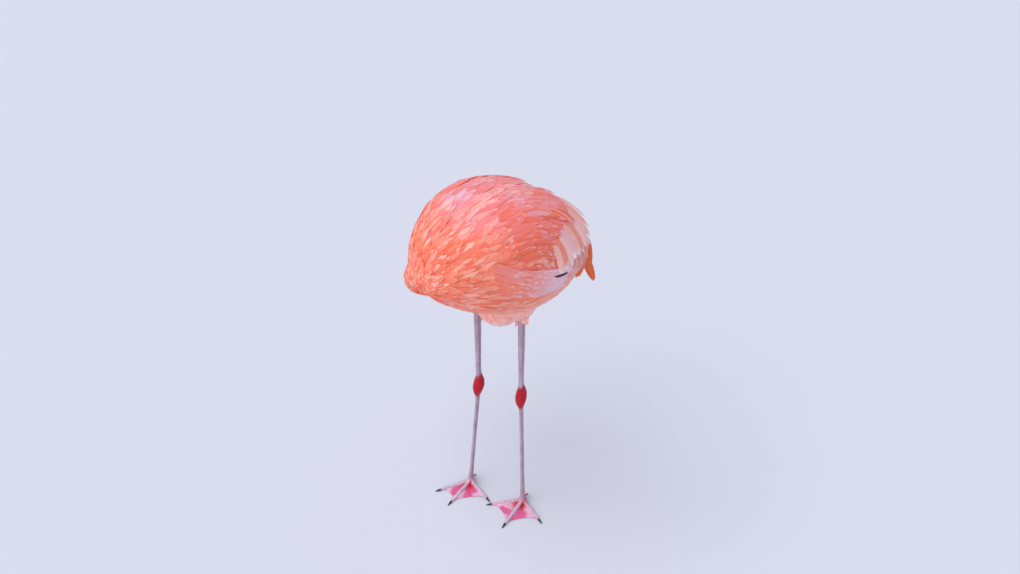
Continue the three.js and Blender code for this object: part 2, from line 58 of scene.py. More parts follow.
def unit(rows):
    rows = np.asarray(rows, float)
    length = np.linalg.norm(rows, axis=-1, keepdims=True)
    return rows / np.maximum(length, 1e-12)


head_forward = unit(HEAD_HEADING)
head_up = unit(np.array([0, 0, 1]) - head_forward[2] * head_forward)
head_left = np.cross(head_up, head_forward)


def head_point(forward, up, left):
    """A point of the head, in the bird's millimetres."""
    arms = np.multiply.outer(forward, head_forward) + np.multiply.outer(up, head_up)
    return HEAD_PLACE + arms + np.multiply.outer(left, head_left)


eye_low, eye_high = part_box("left_eye")
eye_middle = np.array((eye_low + eye_high) / 2)
BIRD_ORIGIN = eye_middle - MM * head_point(*EYE_PLACE.values())


def place(points):
    """The bird's millimetres, where +Z is up and the trunk heads along -Y, in the frame's metres."""
    return np.asarray(points, float) * MM + BIRD_ORIGIN


def measure(points):
    """The frame's metres in the bird's millimetres."""
    return (np.asarray(points, float) - BIRD_ORIGIN) / MM


# ---- Skin: trunk
# The skin of the trunk lies under the coat by the depth of the contour feathers. It is
# a run of oval sections from the base of the neck to the rump, fuller over each wing.
TRUNK_CENTRE = np.array([22.0, 2.0, 666.0])
TRUNK_STATIONS = np.array([
    # behind the centre, half width, top and bottom above the centre
    [-197, 0, 6, 6], [-187, 37, 52, -22], [-157, 76, 93, -50], [-100, 115, 122, -88],
    [-20, 136, 134, -122], [60, 132, 116, -131], [130, 108, 74, -118], [182, 68, 22, -90],
    [204, 0, -36, -36],
], float)
TRUNK_ROUNDNESS = 2.25
TRUNK_REACH = 206.0
TRUNK_COAT = 5.0
WING_SWELL = 4.5
WING_EDGE = np.array([
    # behind the centre, the wing's lower edge above the centre
    [-125, 110], [-102, 78], [-88, 58], [-40, 32], [0, 10], [66, -23], [170, -82],
], float)
WING_FRONT = -100.0
POLE = 0.06                  # how far short of its two poles the trunk's skin begins and ends


def run(values, along):
    """A smooth run through evenly spaced values, read at 0 to 1."""
    values = np.asarray(values, float)
    ends = [2 * values[:1] - values[1:2], values, 2 * values[-1:] - values[-2:-1]]
    values = np.concatenate(ends)
    last = len(values) - 3
    spot = np.clip(np.asarray(along, float) * last, 0, last - 1e-9)
    index = spot.astype(int)
    part = spot - index
    if values.ndim > 1:
        part = part[..., None]
    a, b, c, d = (values[index + step] for step in range(4))
    curve = (2 * a - 5 * b + 4 * c - d) * part**2 + (3 * b - a - 3 * c + d) * part**3
    return 0.5 * (2 * b + (c - a) * part + curve)


def ease(low, high, value):
    """0 below low, 1 above high and a smooth change between."""
    share = np.clip((np.asarray(value, float) - low) / (high - low), 0, 1)
    return share * share * (3 - 2 * share)


def wing_share(points):
    """How much a point of the trunk belongs to a folded wing, from 0 to 1."""
    away, behind, above = (np.asarray(points, float) - TRUNK_CENTRE).T
    edge = np.interp(behind, *WING_EDGE.T)
    share = ease(-4, 9, above - edge) * ease(3, 22, np.abs(away))
    return share * ease(WING_FRONT - 8, WING_FRONT + 14, behind)


def trunk_points(along, angle, inset):
    """Points of the trunk's form, shrunk by inset on every side."""
    along, angle, inset = np.broadcast_arrays(along, angle, inset)
    behind, half_width, top, bottom = (run(column, along) for column in TRUNK_STATIONS.T)
    wide = np.maximum(half_width - inset, 1)
    tall = np.maximum((top - bottom) / 2 - inset, 1)
    power = 2 / TRUNK_ROUNDNESS
    cosine, sine = np.cos(angle), np.sin(angle)
    x = wide * np.sign(cosine) * np.abs(cosine) ** power
    z = tall * np.sign(sine) * np.abs(sine) ** power + (top + bottom) / 2
    return TRUNK_CENTRE + np.stack([x, behind * (1 - inset / TRUNK_REACH), z], -1)


def added(name, data):
    """A new object of the scene, with this data."""
    piece = bpy.data.objects.new(name, data)
    bpy.context.scene.collection.objects.link(piece)
    return piece


def mesh_of(name, points, quads):
    """A mesh object from rows of points, in the bird's millimetres, and rows of four corners."""
    mesh = bpy.data.meshes.new(name)
    mesh.vertices.add(len(points))
    mesh.vertices.foreach_set("co", place(points).astype(np.float32).ravel())
    mesh.loops.add(quads.size)
    mesh.loops.foreach_set("vertex_index", quads.astype(np.int32).ravel())
    mesh.polygons.add(len(quads))
    mesh.polygons.foreach_set("loop_start", np.arange(0, quads.size, 4, dtype=np.int32))
    mesh.update(calc_edges=True)
    mesh.shade_smooth()
    return added(name, mesh)


def read(items, label, width=1, kind=np.float32):
    """A property of all the items, as rows of width numbers."""
    values = np.empty(len(items) * width, kind)
    items.foreach_get(label, values)
    return values.reshape(-1, width) if width > 1 else values


def mark(mesh, label, kind, values, domain="POINT"):
    """A named attribute of the mesh."""
    values = np.asarray(values)
    prop = {"FLOAT": "value", "BOOLEAN": "value", "FLOAT_COLOR": "color"}.get(kind, "vector")
    if kind != "BOOLEAN":
        values = values.astype(np.float32)
    mesh.attributes.new(label, kind, domain).data.foreach_set(prop, values.ravel())


def map_out(mesh, label, places):
    """A named UV map of the mesh, from a place for each corner."""
    layer = mesh.uv_layers.new(name=label)
    layer.uv.foreach_set("vector", np.asarray(places).astype(np.float32).ravel())
    return layer


def tube_faces(rows, sides):
    """The quads of the walls through rings of an even number of points, and of its two ends."""
    index = np.arange(rows * sides).reshape(rows, sides)
    turned = np.roll(index, -1, 1)
    walls = np.stack([index[:-1], turned[:-1], turned[1:], index[1:]], -1).reshape(-1, 4)
    step = np.arange(sides // 2 - 1)
    strip = np.stack([step, step + 1, sides - 2 - step, sides - 1 - step], -1)
    return walls, strip, index[-1][strip]


def loft(name, rings):
    """A closed form through rings of an even number of points, with a strip of quads at each end."""
    walls, first, last = tube_faces(*rings.shape[:2])
    piece = mesh_of(name, rings.reshape(-1, 3), np.concatenate([walls, first[:, ::-1], last]))
    shape = bmesh.new()
    shape.from_mesh(piece.data)
    bmesh.ops.recalc_face_normals(shape, faces=shape.faces)
    shape.to_mesh(piece.data)
    shape.free()
    return piece


def ovals(centres, wide, tall, sides):
    """Oval rings round the centres, with the two half axes given as vectors."""
    angle = np.linspace(0, 2 * np.pi, sides, endpoint=False)[:, None]
    centres, wide, tall = (np.asarray(rows, float)[:, None] for rows in (centres, wide, tall))
    return centres + np.cos(angle) * wide + np.sin(angle) * tall


# Rings stand closer together near the two poles.
trunk_along = (1 - np.cos(np.linspace(POLE, np.pi - POLE, 72))) / 2
trunk_angle = np.linspace(0, 2 * np.pi, 96, endpoint=False)
trunk_grid = np.meshgrid(trunk_along, trunk_angle, indexing="ij")
outer_skin = trunk_points(*trunk_grid, 0)
swell = WING_SWELL * wing_share(outer_skin.reshape(-1, 3)).reshape(outer_skin.shape[:2])
trunk_skin = loft("trunk_skin", trunk_points(*trunk_grid, TRUNK_COAT - swell))


# ---- Skin: neck
# The neck leaves the breast, turns down along the right flank and rises again to the
# nape. Its skin is one tube, thick at the base, thin and even from there on.
NECK_PATH = np.array([
    [18, -100, 688], [14, -148, 688], [-3, -165, 670], [-33, -137, 634], [-76, -84, 584],
    [-136, -30, 540], [-196, 26, 508], [-243, 82, 495], [-267, 134, 512], [-258, 164, 550],
    [-231, 162, 586], [-202, 148, 601],
], float)
NECK_RADII = [38, 34, 30, 28, 26, 24.5, 23, 21.5, 20.5, 21]
NECK_COAT = 5.0
NECK_STEPS = 150
# Which knots, from the one before, each pair of points is joined between, level by level.
KNOT_SPANS = [[(-1, 0), (0, 1), (1, 2)], [(-1, 1), (0, 2)], [(0, 1)]]


def smooth_path(points, count):
    """A rounded path through given points, with count points evenly spaced along it."""
    points = np.asarray(points, float)
    points = np.concatenate([[2 * points[0] - points[1]], points, [2 * points[-1] - points[-2]]])
    knots = np.concatenate([[0], np.cumsum(np.linalg.norm(np.diff(points, axis=0), axis=1) ** 0.5)])
    spots = []
    for i in range(1, len(points) - 2):
        t = np.linspace(knots[i], knots[i + 1], 24, endpoint=i == len(points) - 3)[:, None]
        level = points[i - 1:i + 3]
        for spans in KNOT_SPANS:
            pairs = []
            for (start, stop), first, second in zip(spans, level, level[1:]):
                start, stop = knots[i + start], knots[i + stop]
                pairs.append(first * (stop - t) / (stop - start) + second * (t - start) / (stop - start))
            level = pairs
        spots.append(level[0])
    spots = np.concatenate(spots)
    length = np.concatenate([[0], np.cumsum(np.linalg.norm(np.diff(spots, axis=0), axis=1))])
    even = np.linspace(0, length[-1], count)
    return np.stack([np.interp(even, length, column) for column in spots.T], -1)


def carried_axes(path, first):
    """Tangents of a path, and two cross axes carried along it without twist."""
    tangents = unit(np.gradient(path, axis=0))
    side = unit(first - tangents[0] * np.dot(first, tangents[0]))
    sides = []
    for tangent in tangents:
        side = unit(side - tangent * np.dot(side, tangent))
        sides.append(side)
    sides = np.array(sides)
    return tangents, sides, np.cross(tangents, sides)


neck_path = smooth_path(NECK_PATH, NECK_STEPS)
neck_tangent, neck_side, neck_up = carried_axes(neck_path, np.array([1.0, 0, 0]))
neck_radius = run(NECK_RADII, np.linspace(0, 1, NECK_STEPS))
bare = (neck_radius - NECK_COAT)[:, None]
neck_skin = loft("neck_skin", ovals(neck_path, neck_side * bare, neck_up * bare, 40))


# ---- Skin: thighs and belly
# Each thigh is a tapering muscle that hangs from the belly and ends where the bare
# shank comes out. A soft swelling of the belly fills the space between the two.
FOOT_HEADING = math.radians(15.5)
ANKLE_HEIGHT = 306.0
foot_forward = np.array([math.sin(FOOT_HEADING), -math.cos(FOOT_HEADING), 0])
foot_across = np.array([math.cos(FOOT_HEADING), math.sin(FOOT_HEADING), 0])
LEGS = {
    "left": {
        "hip": (60, 30, 585), "shank_top": (57, 37, 500), "ankle": (55.5, 38, ANKLE_HEIGHT),
        "foot": (58.4, 43.1, 0), "toes": ((-54, 70), (-1, 80), (60, 66)),
    },
    "right": {
        "hip": (-18, -12, 585), "shank_top": (-27, -4, 500), "ankle": (-37, 5, ANKLE_HEIGHT),
        "foot": (-71.8, 5.1, 0), "toes": ((-40, 72), (-4, 76), (64, 66)),
    },
}
THIGH_RINGS = np.array([
    # down from the hip, half width, half length
    [0, 44, 50], [0.35, 41, 47], [0.62, 34, 40], [0.82, 24, 28], [0.95, 14, 16], [1, 9.5, 11],
])
THIGH_END = 506.0
THIGH_COAT = 7.0
BELLY_MIDDLE = np.array([15.0, 15.0, 545.0])
BELLY_SIZE = np.array([56.0, 52.0, 64.0])
BELLY_COAT = 9.0


def leg_middle(leg, height):
    """The leg's middle at a height: straight to the ankle, and straight on to the foot."""
    height = np.asarray(height, float)[..., None]
    top, ankle, foot = (np.array(leg[joint], float) for joint in ("shank_top", "ankle", "foot"))
    upper = ankle + (top - ankle) * (height - ankle[2]) / (top[2] - ankle[2])
    lower = foot + (ankle - foot) * height / ankle[2]
    return np.where(height > ankle[2], upper, lower)


def thigh_rings(leg, coat, rows, sides):
    """Rings of the thigh from the hip down to where its feathers end."""
    down = np.linspace(0, 1, rows)
    end = leg_middle(leg, THIGH_END)
    centres = np.array(leg["hip"], float) * (1 - down[:, None]) + end * down[:, None]
    half_width = np.interp(down, THIGH_RINGS[:, 0], THIGH_RINGS[:, 1])
    half_length = np.interp(down, THIGH_RINGS[:, 0], THIGH_RINGS[:, 2])
    wide = foot_across * np.maximum(half_width - coat, 5)[:, None]
    long = foot_forward * np.maximum(half_length - coat, 6)[:, None]
    return ovals(centres, wide, long, sides)


soft_parts = [trunk_skin, neck_skin]
for side, leg in LEGS.items():
    soft_parts.append(loft(f"{side}_thigh_skin", thigh_rings(leg, THIGH_COAT, 24, 32)))

lift = np.linspace(-1, 1, 26)[1:-1]
belly_half = (BELLY_SIZE - BELLY_COAT) * np.sqrt(1 - lift**2)[:, None]
belly_middles = BELLY_MIDDLE + lift[:, None] * np.array([0, 0, BELLY_SIZE[2] - BELLY_COAT])
belly_rings = ovals(belly_middles, belly_half * [1, 0, 0], belly_half * [0, 1, 0], 32)
soft_parts.append(loft("belly_skin", belly_rings))

# The stump of the tail, which the tail feathers grow from.
TAIL_ROOT = np.array([22.0, 160.0, 616.0])
TAIL_TIP = np.array([22.0, 240.0, 548.0])
STUMP_REACH = 0.42
STUMP_DEPTH = 0.3
stump_along = np.linspace(-STUMP_DEPTH, STUMP_REACH, 14)[:, None]
stump_taper = np.sqrt(1 - ((stump_along + STUMP_DEPTH) / (STUMP_REACH + STUMP_DEPTH + 0.02)) ** 2)
stump_middles = TAIL_ROOT + (TAIL_TIP - TAIL_ROOT) * stump_along
stump_wide, stump_tall = np.array([22.0, 0, 0]), np.array([0, 0, 9.0])
stump_rings = ovals(stump_middles, stump_taper * stump_wide, stump_taper * stump_tall, 32)
soft_parts.append(loft("tail_skin", stump_rings))


def joined(parts):
    """The first of the parts, with the meshes of all."""
    whole = parts[0]
    with bpy.context.temp_override(
        active_object=whole, object=whole, selected_objects=parts, selected_editable_objects=parts,
    ):
        bpy.ops.object.join()
    return whole


def merged(name, parts, voxel, passes):
    """The parts grown together into one closed skin of even quads, then smoothed."""
    whole = joined(parts)
    whole.name = name
    remesh = whole.modifiers.new("grow together", "REMESH")
    remesh.mode = "VOXEL"
    remesh.voxel_size = voxel * MM
    remesh.use_smooth_shade = True
    soften = whole.modifiers.new("soften", "SMOOTH")
    soften.factor = 0.5
    soften.iterations = passes
    return finished(whole)


def finished(piece):
    """The piece with its modifiers taken into its mesh."""
    graph = bpy.context.evaluated_depsgraph_get()
    mesh = bpy.data.meshes.new_from_object(piece.evaluated_get(graph))
    piece.modifiers.clear()
    piece.data = mesh
    return piece


# ---- Skin: head
# The skull is small and rounded, with full cheeks, a low brow over each eye and a
# hollow in front of it, where the skin of the face is bare up to the bill.
SKULL_STATIONS = np.array([
    # forward, up, half height, half width
    [-35, -3, 5, 5], [-33, -2, 14, 12], [-24, 0, 21, 17], [-10, 2, 24.5, 19], [6, 1, 23, 18.5],
    [20, -2, 19, 16], [30, -4, 16.5, 13.5],
])
HEAD_COAT = 1.6
SKULL_ROWS = 70
skull_along = np.linspace(0, 1, SKULL_ROWS)
skull_forward, skull_up, half_height, half_width = (
    run(column, skull_along) for column in SKULL_STATIONS.T
)
skull_middles = head_point(skull_forward, skull_up, np.zeros(SKULL_ROWS))
skull_rings = ovals(
    skull_middles,
    head_left * (half_width - HEAD_COAT)[:, None],
    head_up * (half_height - HEAD_COAT)[:, None],
    64,
)


def head_measure(points):
    """Forward, up and left of the head's middle, in millimetres."""
    away = np.asarray(points, float) - HEAD_PLACE
    return away @ head_forward, away @ head_up, away @ head_left


def bump(centre, reach, forward, up):
    """A soft round swelling on the side of the head, 1 at its centre."""
    distance = np.hypot((forward - centre[0]) / reach[0], (up - centre[1]) / reach[1])
    return np.exp(-distance**2)


forward, up, left = head_measure(skull_rings)
sideways = np.abs(left) / 18
shaping = 1.5 * bump((4, 14.5), (9, 3.2), forward, up)        # brow
shaping -= 2.2 * bump((19, 5), (7, 5), forward, up)           # hollow of the lore
shaping += 1.3 * bump((6, -12), (13, 7), forward, up)         # cheek
shaping -= 1.0 * bump((24, -8), (6, 2.2), forward, up)        # fold behind the gape
outward = unit(skull_rings - skull_middles[:, None])
skull_rings = skull_rings + outward * (shaping * sideways)[..., None]
head_skin = loft("head_skin", skull_rings)

# Two lids fold round each eye. Each ring of points goes from the lid's rim out to the face.
LID_OPENING = 0.72           # the angle from the eye's axis to the lids' rim
LID_REACH = 1.62             # the angle at which they run into the face
LID_ROOM = 0.25
LID_SIDES = 72
LID_RINGS = [
    # how far out from the rim, height above the eye
    (0, LID_ROOM), (0, 0.9), (0.12, 1.15), (0.25, 0.95), (0.36, 1.2), (0.5, 0.9), (0.62, 1.05),
    (0.8, 0.6), (1, -1), (1, -4), (0.5, -3), (0.2, -2),
]
lid_turn = np.linspace(0, 2 * np.pi, LID_SIDES, endpoint=False)
lid_parts = [head_skin]
for sign in (1, -1):
    centre = head_point(EYE_PLACE["forward"], EYE_PLACE["up"], sign * EYE_PLACE["left"])
    narrow = 1 - 0.16 * np.abs(np.sin(lid_turn)) ** 3 + 0.13 * np.exp(-((lid_turn - np.pi) / 0.3) ** 2)
    rings = []
    for share, height in LID_RINGS:
        polar = LID_OPENING * narrow * (1 - share) + LID_REACH * share
        radius = EYE_RADIUS + height
        flat = np.outer(radius * np.sin(polar) * np.cos(lid_turn), head_forward)
        flat = flat + np.outer(radius * np.sin(polar) * np.sin(lid_turn), head_up)
        rings.append(centre + flat + np.outer(radius * np.cos(polar), sign * head_left))
    rings = np.array(rings)
    grid = np.arange(len(rings) * LID_SIDES).reshape(-1, LID_SIDES)
    below, beside = np.roll(grid, -1, 0), np.roll(grid, -1, 1)
    quads = np.stack([grid, beside, np.roll(below, -1, 1), below], -1).reshape(-1, 4)
    lid_parts.append(mesh_of("eyelids", rings.reshape(-1, 3), quads[:, ::sign]))
HEAD_VOXEL = 0.6
head_skin = merged("head_skin", lid_parts, HEAD_VOXEL, 2)


# ---- Skin: legs and feet
# Long bare legs with a knobbly ankle, and three front toes joined by webs. Each leg is
# one smooth skin from inside the thigh down to the flat soles.
LEG_STATIONS = np.array([
    # height, half width, half length, ahead
    [530, 7.2, 8.6, 0], [512, 7.2, 8.6, 0], [440, 6.4, 7.6, 0], [370, 5.4, 6.6, 0],
    [341, 5.2, 6.8, -0.4], [333, 6.2, 7.8, -1.2], [324, 8.6, 10.3, -2.2], [315, 11, 12, -2],
    [303, 12, 12.6, 1], [291, 9.8, 11, 2.5], [282, 6.8, 8.4, 1.8], [274, 5, 6.6, 0.5],
    [255, 4.1, 5.6, 0], [150, 3.9, 5.3, 0], [50, 4.2, 5.6, 0], [20, 5.6, 7, 0], [12, 8, 10, 1],
    [5, 9.3, 11.8, 2], [0.2, 9.3, 11.8, 2],
])
TOE_ROOT = {"half_width": 5.2, "height": 9.3}
TOE_END = {"half_width": 3.2, "height": 5.4}
TOE_START = 4.0
TOE_JOINTS = 3
TOE_ROWS = 30
UP = np.array([0.0, 0, 1])
WEB_THICKNESS = 1.5
WEB_REACH = 0.9              # how far out along its toes a web ends
WEB_DIP = 0.86               # how far its edge curves in between them
LEG_VOXEL = 1.3


def heading(turn):
    """The level direction that is turned from the foot's heading towards the bird's left."""
    angle = FOOT_HEADING + math.radians(turn)
    return np.array([math.sin(angle), -math.cos(angle), 0])


def toe_rings(leg, turn, length):
    """Rings of a toe that lies on the ground, swollen under each joint."""
    ahead, across = heading(turn), heading(turn + 90)
    along = np.linspace(0, 1, TOE_ROWS)
    swell = 1 + 0.13 * np.sin(np.pi * TOE_JOINTS * along) ** 2
    half_width = np.interp(along, [0, 1], [TOE_ROOT["half_width"], TOE_END["half_width"]]) * swell
    height = np.interp(along, [0, 1], [TOE_ROOT["height"], TOE_END["height"]]) * swell
    close = np.sqrt(np.clip(1 - ((along - 0.93) / 0.075).clip(0) ** 2, 0.1, 1))
    spine = np.array(leg["foot"]) + np.outer(TOE_START + (length - TOE_START) * along, ahead)
    centres = spine + np.outer(height / 2 + 0.1, UP)
    return ovals(centres, np.outer(half_width * close, across), np.outer(height / 2 * close, UP), 16)


def web_form(name, leg, first, second):
    """The web between two toes: thin, bowed down, with an outer edge that curves in."""
    start, end = (heading(turn) * length * WEB_REACH for turn, length in (first, second))
    across = np.linspace(0, 1, 15)[:, None]
    edge = (1 - across) ** 2 * start + across**2 * end
    edge = edge + across * (1 - across) * (start + end) * WEB_DIP
    out = np.linspace(0.08, 1, 16)[:, None, None]
    sag = 1.9 * (1 - np.abs(2 * across[:, 0] - 1)) * out[..., 0]
    top = np.array(leg["foot"]) + edge * out + (3.4 - sag)[..., None] * UP
    sole = top - WEB_THICKNESS * UP
    return loft(name, np.concatenate([top, sole[:, ::-1]], 1))


def hind_toe_rings(leg):
    """The small hind toe, which stands off the ground."""
    along = np.linspace(0, 1, 14)
    centres = np.array(leg["foot"]) + np.outer(3 + 15 * along, heading(180))
    centres[:, 2] = 14 - 7 * along
    taper = 1 - 0.35 * along
    return ovals(centres, np.outer(3.5 * taper, heading(90)), np.outer(3.6 * taper, UP), 14)


leg_skins = []
for side, leg in LEGS.items():
    height, half_width, half_length, ahead = (
        run(column, np.linspace(0, 1, 240)) for column in LEG_STATIONS.T
    )
    centres = leg_middle(leg, height) + np.outer(ahead, foot_forward)
    centres[:, 2] = height
    parts = [loft(f"{side}_leg_skin", ovals(
        centres, np.outer(half_width, foot_across), np.outer(half_length, foot_forward), 32,
    ))]
    parts += [loft("toe", toe_rings(leg, *toe)) for toe in leg["toes"]]
    parts += [web_form("web", leg, *pair) for pair in zip(leg["toes"], leg["toes"][1:])]
    parts.append(loft("hind_toe", hind_toe_rings(leg)))
    leg_skins.append(merged(f"{side}_leg_skin", parts, LEG_VOXEL, 3))


# ---- Skin: one whole
# All of the flesh is one skin without a seam. The soft parts grow together first, and
# the finer skins of the head and legs join them where feathers cover the join.
BODY_VOXEL = 5.0
skin = merged("skin", soft_parts, BODY_VOXEL, 6)
for part in [head_skin, *leg_skins]:
    union = skin.modifiers.new("union", "BOOLEAN")
    union.operation = "UNION"
    union.solver = "MANIFOLD"
    union.object = part
finished(skin)
for part in [head_skin, *leg_skins]:
    bpy.data.objects.remove(part)


# ---- Plumage colours
# The colour comes from the food and is laid down feather by feather: salmon orange on
# the breast, pinker on the back, deep orange in the coverts and pale along the flanks.
SEED = 41
chance = np.random.default_rng(SEED)


def paint(code):
    """A colour code as linear red, green and blue."""
    shown = np.array([int(code[i:i + 2], 16) for i in (1, 3, 5)]) / 255
    return np.where(shown <= 0.04045, shown / 12.92, ((shown + 0.055) / 1.055) ** 2.4)


ORANGE = paint("#F2724A")
CORAL = paint("#E8624F")
PINK = paint("#F28E9E")
SALMON = paint("#FC9072")
LILAC = paint("#E2B8D4")
PALE = paint("#FFC9BC")
BLUSH = paint("#F9A69E")
PEACH = paint("#EDA795")
CREASE_SHADE_PLUM = paint("#D0648C")
DEEP_ORANGE = paint("#EA642C")
BLACK = paint("#14100F")


def patchy(points, scale, shift):
    """Smooth patches from 0 to 1, about scale millimetres across."""
    return np.array([0.5 + 0.62 * noise.noise(Vector(p) / scale + Vector((shift, 0, 0))) for p in points])


def blend_of(first, second, share):
    """Rows of colour between the first and the second, for one share or one for each row."""
    share = np.clip(np.atleast_1d(np.asarray(share, float)), 0, 1)[:, None]
    return first * (1 - share) + second * share


# Places are behind and above the trunk's centre, or away from its middle plane.
# Along this fold the plumage is painted plum, as the shade that lies in the crease.
CREASE = np.array([[-166, 62], [-126, 99], [-90, 116], [-32, 123]], float)
# Pale lilac spots on the shoulders: partly pale plumage, partly painted highlights.
PALE_AND_HIGHLIGHT_SPOTS = [
    # place behind and above, size, place away
    ((-113, 103), 19, -28), ((2, 109), 22, 69), ((-56, 114), 11, 59),
]


def crease_gap(away, behind, above):
    """How far points lie from the fold between the breast feathers and the wing's shoulder."""
    fold = np.interp(behind, *CREASE.T)
    gap = np.hypot(above - fold, (away + 14) * 0.7)
    return np.where((behind > CREASE[0, 0] - 8) & (behind < CREASE[-1, 0]), gap, 99)


def plumage(points):
    """The core colour, the fringe colour and how broad the fringe is, at points of the coat."""
    points = np.asarray(points, float)
    away, behind, above = (points - TRUNK_CENTRE).T
    cloud = patchy(points, 46, 0)
    fine = patchy(points, 17, 9)
    core = blend_of(SALMON, ORANGE, 0.25 + 0.9 * fine)
    core = blend_of(core, CORAL, ease(-60, 60, above) * 0.75 * cloud)
    back = ease(60, 118, above) * (0.35 + 0.6 * cloud)
    core = blend_of(core, PINK, back)
    wing = wing_share(points)
    core = blend_of(core, CORAL, 0.45 * wing * fine) * (1 - 0.4 * wing * ease(-100, 10, -above))[:, None]
    # Painted shade: plum along the fold between the breast and the wing's shoulder.
    core = blend_of(core, CREASE_SHADE_PLUM, 0.5 * fine * ease(-11, -2, -crease_gap(away, behind, above)))
    # The pale spots turn the core lilac and widen the fringe: partly pale plumage, partly painted
    # highlights.
    pale = np.zeros(len(points))
    for (spot_behind, spot_above), size, spot_away in PALE_AND_HIGHLIGHT_SPOTS:
        gap = np.linalg.norm(np.stack([away - spot_away, behind - spot_behind, above - spot_above]), axis=0)
        pale = np.maximum(pale, ease(-1.5 * size, -0.4 * size, -gap))
    core = blend_of(core, LILAC, (0.25 + 0.75 * cloud) * pale)
    flank = ease(-125, -60, -np.abs(above + 45)) * ease(-50, 40, behind) * ease(60, 110, np.abs(away))
    core = blend_of(core, BLUSH, 0.75 * flank * (0.5 + 0.5 * fine))
    under = ease(30, 105, -above)
    core = blend_of(core, PALE, under * 0.6)
    fringe = blend_of(PALE, LILAC, ease(20, 120, above) * 0.6 + 0.5 * flank + 0.2 * cloud)
    fringe = blend_of(core, fringe, 0.55)
    breadth = 0.6 + 0.5 * fine - 0.2 * ease(-20, 60, above) * (1 - cloud) + 0.35 * flank + 0.5 * pale
    return core, fringe, breadth


# ---- A feather's make
# A contour feather is a shaft with a soft vane of barbs on either side, slightly domed
# and ragged at the tip. Each is a closed thin form of its own, fixed in the skin.
TOP_COLUMNS = np.array([-1, -0.7, -0.36, 0, 0.36, 0.7, 1])
VANE_THICKNESS = 0.25
VANE_WIDEST = 0.6            # where along its shaft a vane is widest
PATCH = 0.003                # the side of a feather's patch on the bake's map


def vane_profile(along, point):
    """A vane's half width along its shaft: narrow at the root and drawn in at the tip."""
    rise = 0.3 + 0.7 * np.sin(0.5 * np.pi * np.clip(along / VANE_WIDEST, 0, 1)) ** 0.8
    past = np.clip(along - VANE_WIDEST, 0, 1) / (1.004 - VANE_WIDEST)
    return rise * np.sqrt(np.clip(1 - past**point, 0.004, 1))


def vane_maps(mesh, coat, columns, along, quads):
    """The map of each vane, its place on the bake's map, and its colours."""
    count, rows, across = len(coat["luck"]), len(along), len(columns)
    vane_u = np.tile(np.append(columns, 0) / 2 + 0.5, (count, rows, 1))
    vane_v = np.broadcast_to(along[None, :, None], vane_u.shape)
    # Across the two lower faces u runs on past the edges, which marks them as the underside, where the
    # material paints a glow.
    at = quads % (across + 1)
    right = (at == across - 1).any(1)
    lower = (at == across).any(1) & (right | (at == 0).any(1))
    map_u = vane_u.ravel()[quads]
    map_u = np.where(lower[:, None] & (at == across), np.where(right, 2, -1)[:, None], map_u)
    map_out(mesh, "Vane", np.stack([map_u, vane_v.ravel()[quads]], -1)).active_render = True
    # On the bake's map a feather has a small patch, at its root's place on the skin.
    root = coat["patch"][:, None, None] + PATCH * (np.stack([vane_u, vane_v], -1) - 0.5)
    map_out(mesh, "OFBake", root.reshape(-1, 2)[quads].clip(0, 1))
    for label, colour, extra in (("Core", "core", "luck"), ("Fringe", "fringe", "breadth")):
        colours = np.concatenate([coat[colour], coat[extra][:, None]], 1)
        mark(mesh, label, "FLOAT_COLOR", np.repeat(colours, rows * (across + 1), 0))


